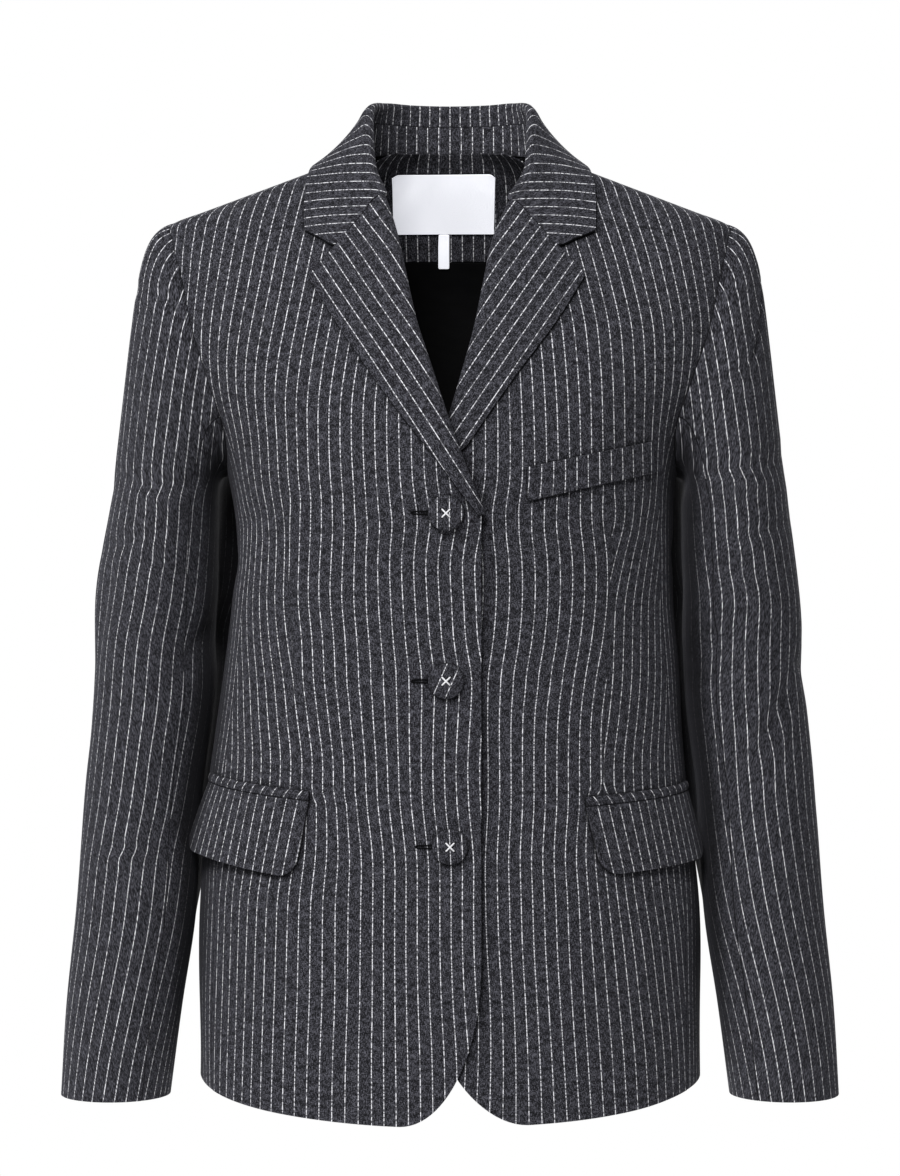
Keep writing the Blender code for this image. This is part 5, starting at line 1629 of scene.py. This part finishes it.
def flap_grid(side):
    """A pocket flap with rounded lower corners, whose foot stands off towards the side."""
    flap = FLAP[side]
    share = (1 - np.cos(np.pi * between(0.0, 1.0, FLAP_ACROSS))) / 2
    down = between(0.0, 1.0, FLAP_DOWN)[:, None]
    width, height = FLAP_SIZE
    near_end = np.minimum(np.minimum(share, 1 - share) * width, FLAP_CORNER) / FLAP_CORNER
    down = down * (1 - FLAP_CORNER / height * (1 - np.sqrt(1 - (1 - near_end) ** 2)))
    top_angle = blend(angle_at(flap.in_x, flap.in_top_z), flap.out_angle, share)
    foot_angle = blend(angle_at(flap.in_foot_x, flap.in_foot_z), flap.out_foot_angle, share)
    top_z = blend(flap.in_top_z, flap.out_top_z, share)
    foot_z = blend(flap.in_foot_z, flap.out_foot_z, share)
    angle = SIDES[side] * (top_angle + (foot_angle - top_angle) * down)
    lift = FLAP_LIFT + down * (FLAP_SAG + flap.flare * share**FLARE_POWER)
    return angle, top_z + (foot_z - top_z) * down, lift


def jet_grid(side):
    """The piped strip above a flap."""
    flap = FLAP[side]
    share = between(0.0, 1.0, FLAP_ACROSS)
    angle = blend(angle_at(flap.in_x, flap.in_top_z), flap.out_angle, share)
    foot = blend(flap.in_top_z, flap.out_top_z, share) + 2 * SEAM
    return SIDES[side] * angle, foot + between(0.0, 1.0, JET_UP)[:, None] * JET_HEIGHT, FLAP_LIFT


def welt_grid():
    """The slanted breast welt on the left front."""
    share = between(0.0, 1.0, WELT_ACROSS)
    rise = between(0.0, 1.0, WELT_UP)[:, None]
    x = WELT.in_x + (WELT.out_x - WELT.in_x) * share
    foot = WELT.in_foot_z + (WELT.out_foot_z - WELT.in_foot_z) * share
    head = WELT.in_top_z + (WELT.out_top_z - WELT.in_top_z) * share
    z = foot + (head - foot) * rise
    return angle_at(x + 0 * z, z), z, FLAP_LIFT + LAYER


print("the welt is a grid of", welt_grid()[1].shape, "points")

# %% Sewing the pockets
for side, sign in SIDES.items():
    angle, z, lift = flap_grid(side)
    share = (1 - np.cos(np.pi * np.linspace(0, 1, angle.shape[1]))) / 2
    across = share[None, :] * FLAP_SIZE[0] + 0 * z
    sew_on_form(f"pocket_flap_{side}", (angle, z, lift), (across, z), seams="f", looks=(FLANNEL, LINING))
    angle, z, lift = np.broadcast_arrays(*jet_grid(side))
    run = np.linspace(0, 1, angle.shape[1])[None, :] * FLAP_SIZE[0] + 0 * z
    rise = np.linspace(0, 1, angle.shape[0])[:, None] * JET_HEIGHT + 0 * z
    across = run * np.cos(JET_BIAS) + rise * np.sin(JET_BIAS)
    roll = JET_ROUND * np.sin(np.pi * rise / JET_HEIGHT)
    sew_on_form(f"pocket_jet_{side}", (angle, z, lift + roll), (across, rise), seams="ft")
angle, z, lift = welt_grid()
(across, along), _ = front_cloth("left", angle, z)
sew_on_form("breast_welt", (angle, z, lift), (across + STRIPE_PITCH / 2, along), seams="fio")

# %% [markdown]
# ## Buttons and buttonholes
#
# The buttons are moulds covered in the same flannel: a low dome with a rounded shoulder, turned from one
# profile. Each is sewn through four holes with white thread in a plain cross. Beside each shows the end of
# its buttonhole, a slit bound with close stitches.

# %% Measures of the buttons
BUTTON_RADIUS = 0.0121
BUTTON_HEIGHT = 0.0052
# The dome's profile, as shares of radius and height
BUTTON_PROFILE = (
    (0.00, 1.00),
    (0.45, 0.97),
    (0.80, 0.84),
    (1.00, 0.52),
    (0.93, 0.18),
    (0.60, 0.00),
    (0.00, 0.00),
)
# Each button's place, and its seat: how far its foot lies off the front
BUTTONS = rows_of(
    "x z seat",
    (-2.7, -250.6, -0.3),
    (-2.7, -366.4, 0.1),
    (0, -480, -0.1),
)
BUTTON_FINE, BUTTON_ROUND = 4, 64
BUTTON_GRAIN = (0.0, -24.0, 3.0)  # degrees that each button's stripes are turned by
BUTTON_SHIFT = (0.72, 0.5, 0.0)  # and how far over they lie, in stripes
HOLE_OFF = 2.9 * MM  # each hole's distance from the middle, both ways
THREAD_RADIUS = 0.58 * MM
ARCH_FOOT, ARCH_RISE, ARCH_OVER = 0.15, 0.55, 0.35  # mm off the button; the second thread rises more
STITCH_DOWN = 0.6 * MM  # each end goes down into its hole by this
HOLE_RADIUS, HOLE_THREAD = 0.45 * MM, 0.30 * MM  # of each hole, and of the thread round it
SHANK = 1.0 * MM  # the thread lets a button stand off by this
TUBE_SIDES, STITCH_POINTS, HOLE_POINTS = 10, 15, 16  # of the threads' grids
print(len(BUTTONS), "buttons,", round(2 * BUTTON_RADIUS / MM, 1), "mm wide")

# %% Threads as round tubes
def frame_at(x, z, side, lift):
    """A place on a front with its sideways, upward and outward directions, as rows of a matrix."""
    x, z = np.array(x), np.array(z)
    seat = on_front(x, z, side, lift)
    out = unit(on_front(x, z, side, lift + 0.01) - seat)
    aside = unit(np.cross(np.array([0.0, 0.0, 1.0]), out))
    return seat, np.stack([aside, np.cross(out, aside), out])


def place_on(seat, points):
    """Points given from a seat, in its own directions."""
    middle, axes = seat
    return middle + points @ axes


def ring_quads(index):
    """The quads between rings of vertex numbers; each ring is closed."""
    around = np.roll(index, -1, axis=1)
    return np.stack([index[:-1], index[1:], around[1:], around[:-1]], axis=-1).reshape(-1, 4).tolist()


def make_tube(path, radius, closed=False):
    """A round thread along a path: circles in the plane square to the path's run, (cos, sin) times radius."""
    way = unit(np.gradient(path, axis=0))
    if closed:
        way = unit(np.roll(path, -1, axis=0) - np.roll(path, 1, axis=0))
    one = unit(np.cross(way, np.array([0.0, 1.0, 0.15])))
    two = np.cross(way, one)
    turn = once_round(TUBE_SIDES)[None, :, None]
    rings = path[:, None] + radius * (np.cos(turn) * one[:, None] + np.sin(turn) * two[:, None])
    index = np.arange(len(path) * TUBE_SIDES).reshape(-1, TUBE_SIDES)
    if closed:
        faces = ring_quads(np.concatenate([index, index[:1]]))
    else:
        faces = ring_quads(index) + [index[0].tolist(), index[-1, ::-1].tolist()]
    return rings.reshape(-1, 3), faces, np.repeat(run_along(path), TUBE_SIDES)


def join_tubes(name, tubes, look):
    """Several tubes as one piece; each tube's run along the thread is its place across the weave."""
    points, faces, runs = [], [], []
    for rings, quads, run in tubes:
        start = sum(len(p) for p in points)
        points.append(rings)
        faces += [[corner + start for corner in quad] for quad in quads]
        runs.append(run)
    mesh = bpy.data.meshes.new(name)
    mesh.from_pydata(np.concatenate(points).tolist(), [], faces)
    runs = np.concatenate(runs)
    finish_piece(name, mesh, np.stack([runs, 0 * runs], axis=-1), (look,), [], False)

# %% A covered button and its stitches
def make_button(number, place):
    """A dome turned about its axis: radius and height from the profile, at even angles."""
    profile = resample(np.array(BUTTON_PROFILE)[:, None, :], BUTTON_FINE, axis=0)[:, 0]
    radius, height = profile[1:-1, 0] * BUTTON_RADIUS, profile[1:-1, 1] * BUTTON_HEIGHT
    turn = once_round(BUTTON_ROUND)
    x, y = radius[:, None] * np.cos(turn), radius[:, None] * np.sin(turn)
    rings = np.stack([x, y, height[:, None] + 0 * x], axis=-1)
    local = np.concatenate([rings.reshape(-1, 3), [[0, 0, BUTTON_HEIGHT]], [[0, 0, 0]]])
    index = np.arange(radius.size * BUTTON_ROUND).reshape(-1, BUTTON_ROUND)
    around = np.roll(index, -1, axis=1)
    top, foot = len(local) - 2, len(local) - 1
    caps = [[top, a, b] for a, b in zip(index[0].tolist(), around[0].tolist())]
    caps += [[foot, b, a] for a, b in zip(index[-1].tolist(), around[-1].tolist())]
    mesh = bpy.data.meshes.new(f"button_{number}")
    seat = frame_at(place.x, place.z, "right", place.seat + SHANK)
    mesh.from_pydata(place_on(seat, local).tolist(), [], ring_quads(index) + caps)
    run = np.concatenate([[0.0], np.cumsum(np.hypot(np.diff(radius), np.diff(height)))])
    # painted shade round the rim, where the button stands off the front: from the widest ring inwards, and on
    # all of the side below it, stored as the seam's distance
    rim = np.maximum(run[np.argmax(radius)] - run, 0.0)
    set_point_value(mesh, "seam", [*np.repeat(rim, BUTTON_ROUND), FAR, 0.0])
    set_point_value(mesh, "dart", np.full(len(local), -FAR))
    set_point_value(mesh, "spread", np.ones(len(local)))
    slant = np.radians(BUTTON_GRAIN[number - 1])
    across = local[:, 0] * np.cos(slant) + local[:, 1] * np.sin(slant)
    along = local[:, 1] * np.cos(slant) - local[:, 0] * np.sin(slant)
    places = np.stack([across + BUTTON_SHIFT[number - 1] * STRIPE_PITCH, along], axis=-1)
    finish_piece(f"button_{number}", mesh, places, (FLANNEL,), [f"button_{number}"], False)
    return seat


def cross_stitch(seat):
    """Two slack threads from hole to hole, each a low arch: height as a half sine of its length."""
    t = np.linspace(-1.0, 1.0, STITCH_POINTS)
    tubes = []
    for number, lean in enumerate((1.0, -1.0)):
        half_sine = np.cos(t * np.pi / 2)
        arch = BUTTON_HEIGHT + (ARCH_FOOT + ARCH_RISE * half_sine + ARCH_OVER * number * half_sine) * MM
        path = np.stack([t * HOLE_OFF, lean * t * HOLE_OFF, arch], axis=-1)
        path[[0, -1], 2] -= STITCH_DOWN
        tubes.append(make_tube(place_on(seat, path), THREAD_RADIUS))
    return tubes


def eyelets(seat):
    """The four holes, each drawn as a ring of near-black thread, which is painted shade for the hole's dark
    inside.
    """
    turn = once_round(HOLE_POINTS)
    tubes = []
    for x in (-HOLE_OFF, HOLE_OFF):
        for y in (-HOLE_OFF, HOLE_OFF):
            ring = [x + HOLE_RADIUS * np.cos(turn), y + HOLE_RADIUS * np.sin(turn), BUTTON_HEIGHT + 0 * turn]
            tubes.append(make_tube(place_on(seat, np.stack(ring, axis=-1)), HOLE_THREAD, closed=True))
    return tubes


# %% Buttonholes
HOLE_START, HOLE_END = -0.0236, -0.0085  # x of a buttonhole's ends, from its button
HOLE_HALF = 1.0 * MM  # half the width of the bound slit
BINDING, BINDING_LIFT = 0.42 * MM, 0.40 * MM  # the thread's radius, and its middle's way off the front
STITCHES, STITCH_BULGE = 36, 0.12  # round the slit, and how much each stands out
SLIT_POWER, SLIT_POINTS = 0.35, 72  # the oval's exponent, less than 1 to square its ends


def buttonhole(place):
    """A bound slit: a long oval of thread that lies on the front, worked out by x and z."""
    turn = once_round(SLIT_POINTS)
    half = (HOLE_END - HOLE_START) / 2
    flat = np.sign(np.cos(turn)) * np.abs(np.cos(turn)) ** SLIT_POWER
    x = place.x + (HOLE_START + HOLE_END) / 2 + half * flat
    z = place.z + HOLE_HALF * np.sin(turn)
    stitches = BINDING * (1 + STITCH_BULGE * np.sin(turn * STITCHES))
    return make_tube(on_front(x, z, "right", BINDING_LIFT), stitches.reshape(-1, 1, 1), closed=True)


for number, place in enumerate(BUTTONS, start=1):
    seat = make_button(number, place)
    join_tubes(f"button_thread_{number}", cross_stitch(seat), WHITE_THREAD)
    join_tubes(f"button_eyelets_{number}", eyelets(seat), DARK_THREAD)
    join_tubes(f"buttonhole_{number}", [buttonhole(place)], DARK_THREAD)
    print("button", number, "at", np.round(seat[0], 4).tolist())

# %% [markdown]
# ## A record for flat cuts
#
# Cloth is bought flat. Cut is a record for a shell's flat piece, with the fields width, length, area,
# held and rests_on. They were measured on the finished shells, which hang without stretching. No piece is
# filled in here.

# %% Flat sizes
Cut = namedtuple("Cut", "width length area held rests_on")

# %% [markdown]
# ## Light, floor and camera
#
# Clothes are shown in soft light, so that cloth keeps its colour and has only slight shadows. A large lamp
# stands high behind the camera and reaches into the neck, one at the upper left gives the form, one behind
# lights the back, and a white world fills the rest. The camera stands in front, at half the jacket's height.

# %% World and lamps
WORLD_LIGHT = 0.25
world = bpy.data.worlds.new("white studio")
bpy.context.scene.world = world
world.use_nodes = True
sky = world.node_tree
rays = add(sky, "ShaderNodeLightPath").outputs["Is Camera Ray"]
strength = add(
    sky, "ShaderNodeMapRange", {"Value": rays}, {"To Min": WORLD_LIGHT, "To Max": 1.0}
).outputs[0]
sky.links.new(strength, sky.nodes["Background"].inputs["Strength"])
sky.nodes["Background"].inputs["Color"].default_value = (1.0, 1.0, 1.0, 1.0)

LAMPS = rows_of(
    "x y z size power",
    (-0.6, -3, 1.45, 1, 92),
    (-2.2, -1.9, 1.9, 1.2, 56),
    (0.3, 3, 0.6, 2.2, 80),
    plain="x y z size power",
)
AIM = Vector((0.0, 0.0, -0.3024))
for number, lamp in enumerate(LAMPS, start=1):
    data = bpy.data.lights.new(f"soft lamp {number}", "AREA")
    data.size, data.energy = lamp.size, lamp.power
    made = bpy.data.objects.new(data.name, data)
    made.location = (lamp.x, lamp.y, lamp.z)
    made.rotation_euler = (AIM - made.location).to_track_quat("-Z", "Y").to_euler()
    made.visible_camera = False
    bpy.context.scene.collection.objects.link(made)
bpy.context.scene.view_settings.view_transform = "Standard"

# %% Floor and camera
FLOOR_Z, FLOOR_RADIUS = -0.95, 1.2
turn = once_round(96)
disc = np.stack([FLOOR_RADIUS * np.cos(turn), FLOOR_RADIUS * np.sin(turn), FLOOR_Z + 0 * turn], axis=-1)
mesh = bpy.data.meshes.new("floor")
mesh.from_pydata(disc.tolist(), [], [list(range(len(disc)))])
floor = bpy.data.objects.new("floor", mesh)
collection.objects.link(floor)
plaster, _ = new_material("painted_floor_pale", "#E9E9E9", 0.8)
mesh.materials.append(plaster)

IMAGE_HEIGHT = 1176
METRES_A_PIXEL = 0.00072  # on the plane through the origin, which the shoulders lie on
CAMERA_AWAY = 2.7
camera = bpy.data.cameras.new("camera")
camera.sensor_width = 36.0
camera.lens = camera.sensor_width * CAMERA_AWAY / (IMAGE_HEIGHT * METRES_A_PIXEL)
eye = bpy.data.objects.new("camera", camera)
eye.location = (0.0, -CAMERA_AWAY, AIM.z)
eye.rotation_euler = (np.pi / 2, 0.0, 0.0)
bpy.context.scene.collection.objects.link(eye)
bpy.context.scene.camera = eye
print("lens", round(camera.lens, 2), "mm")
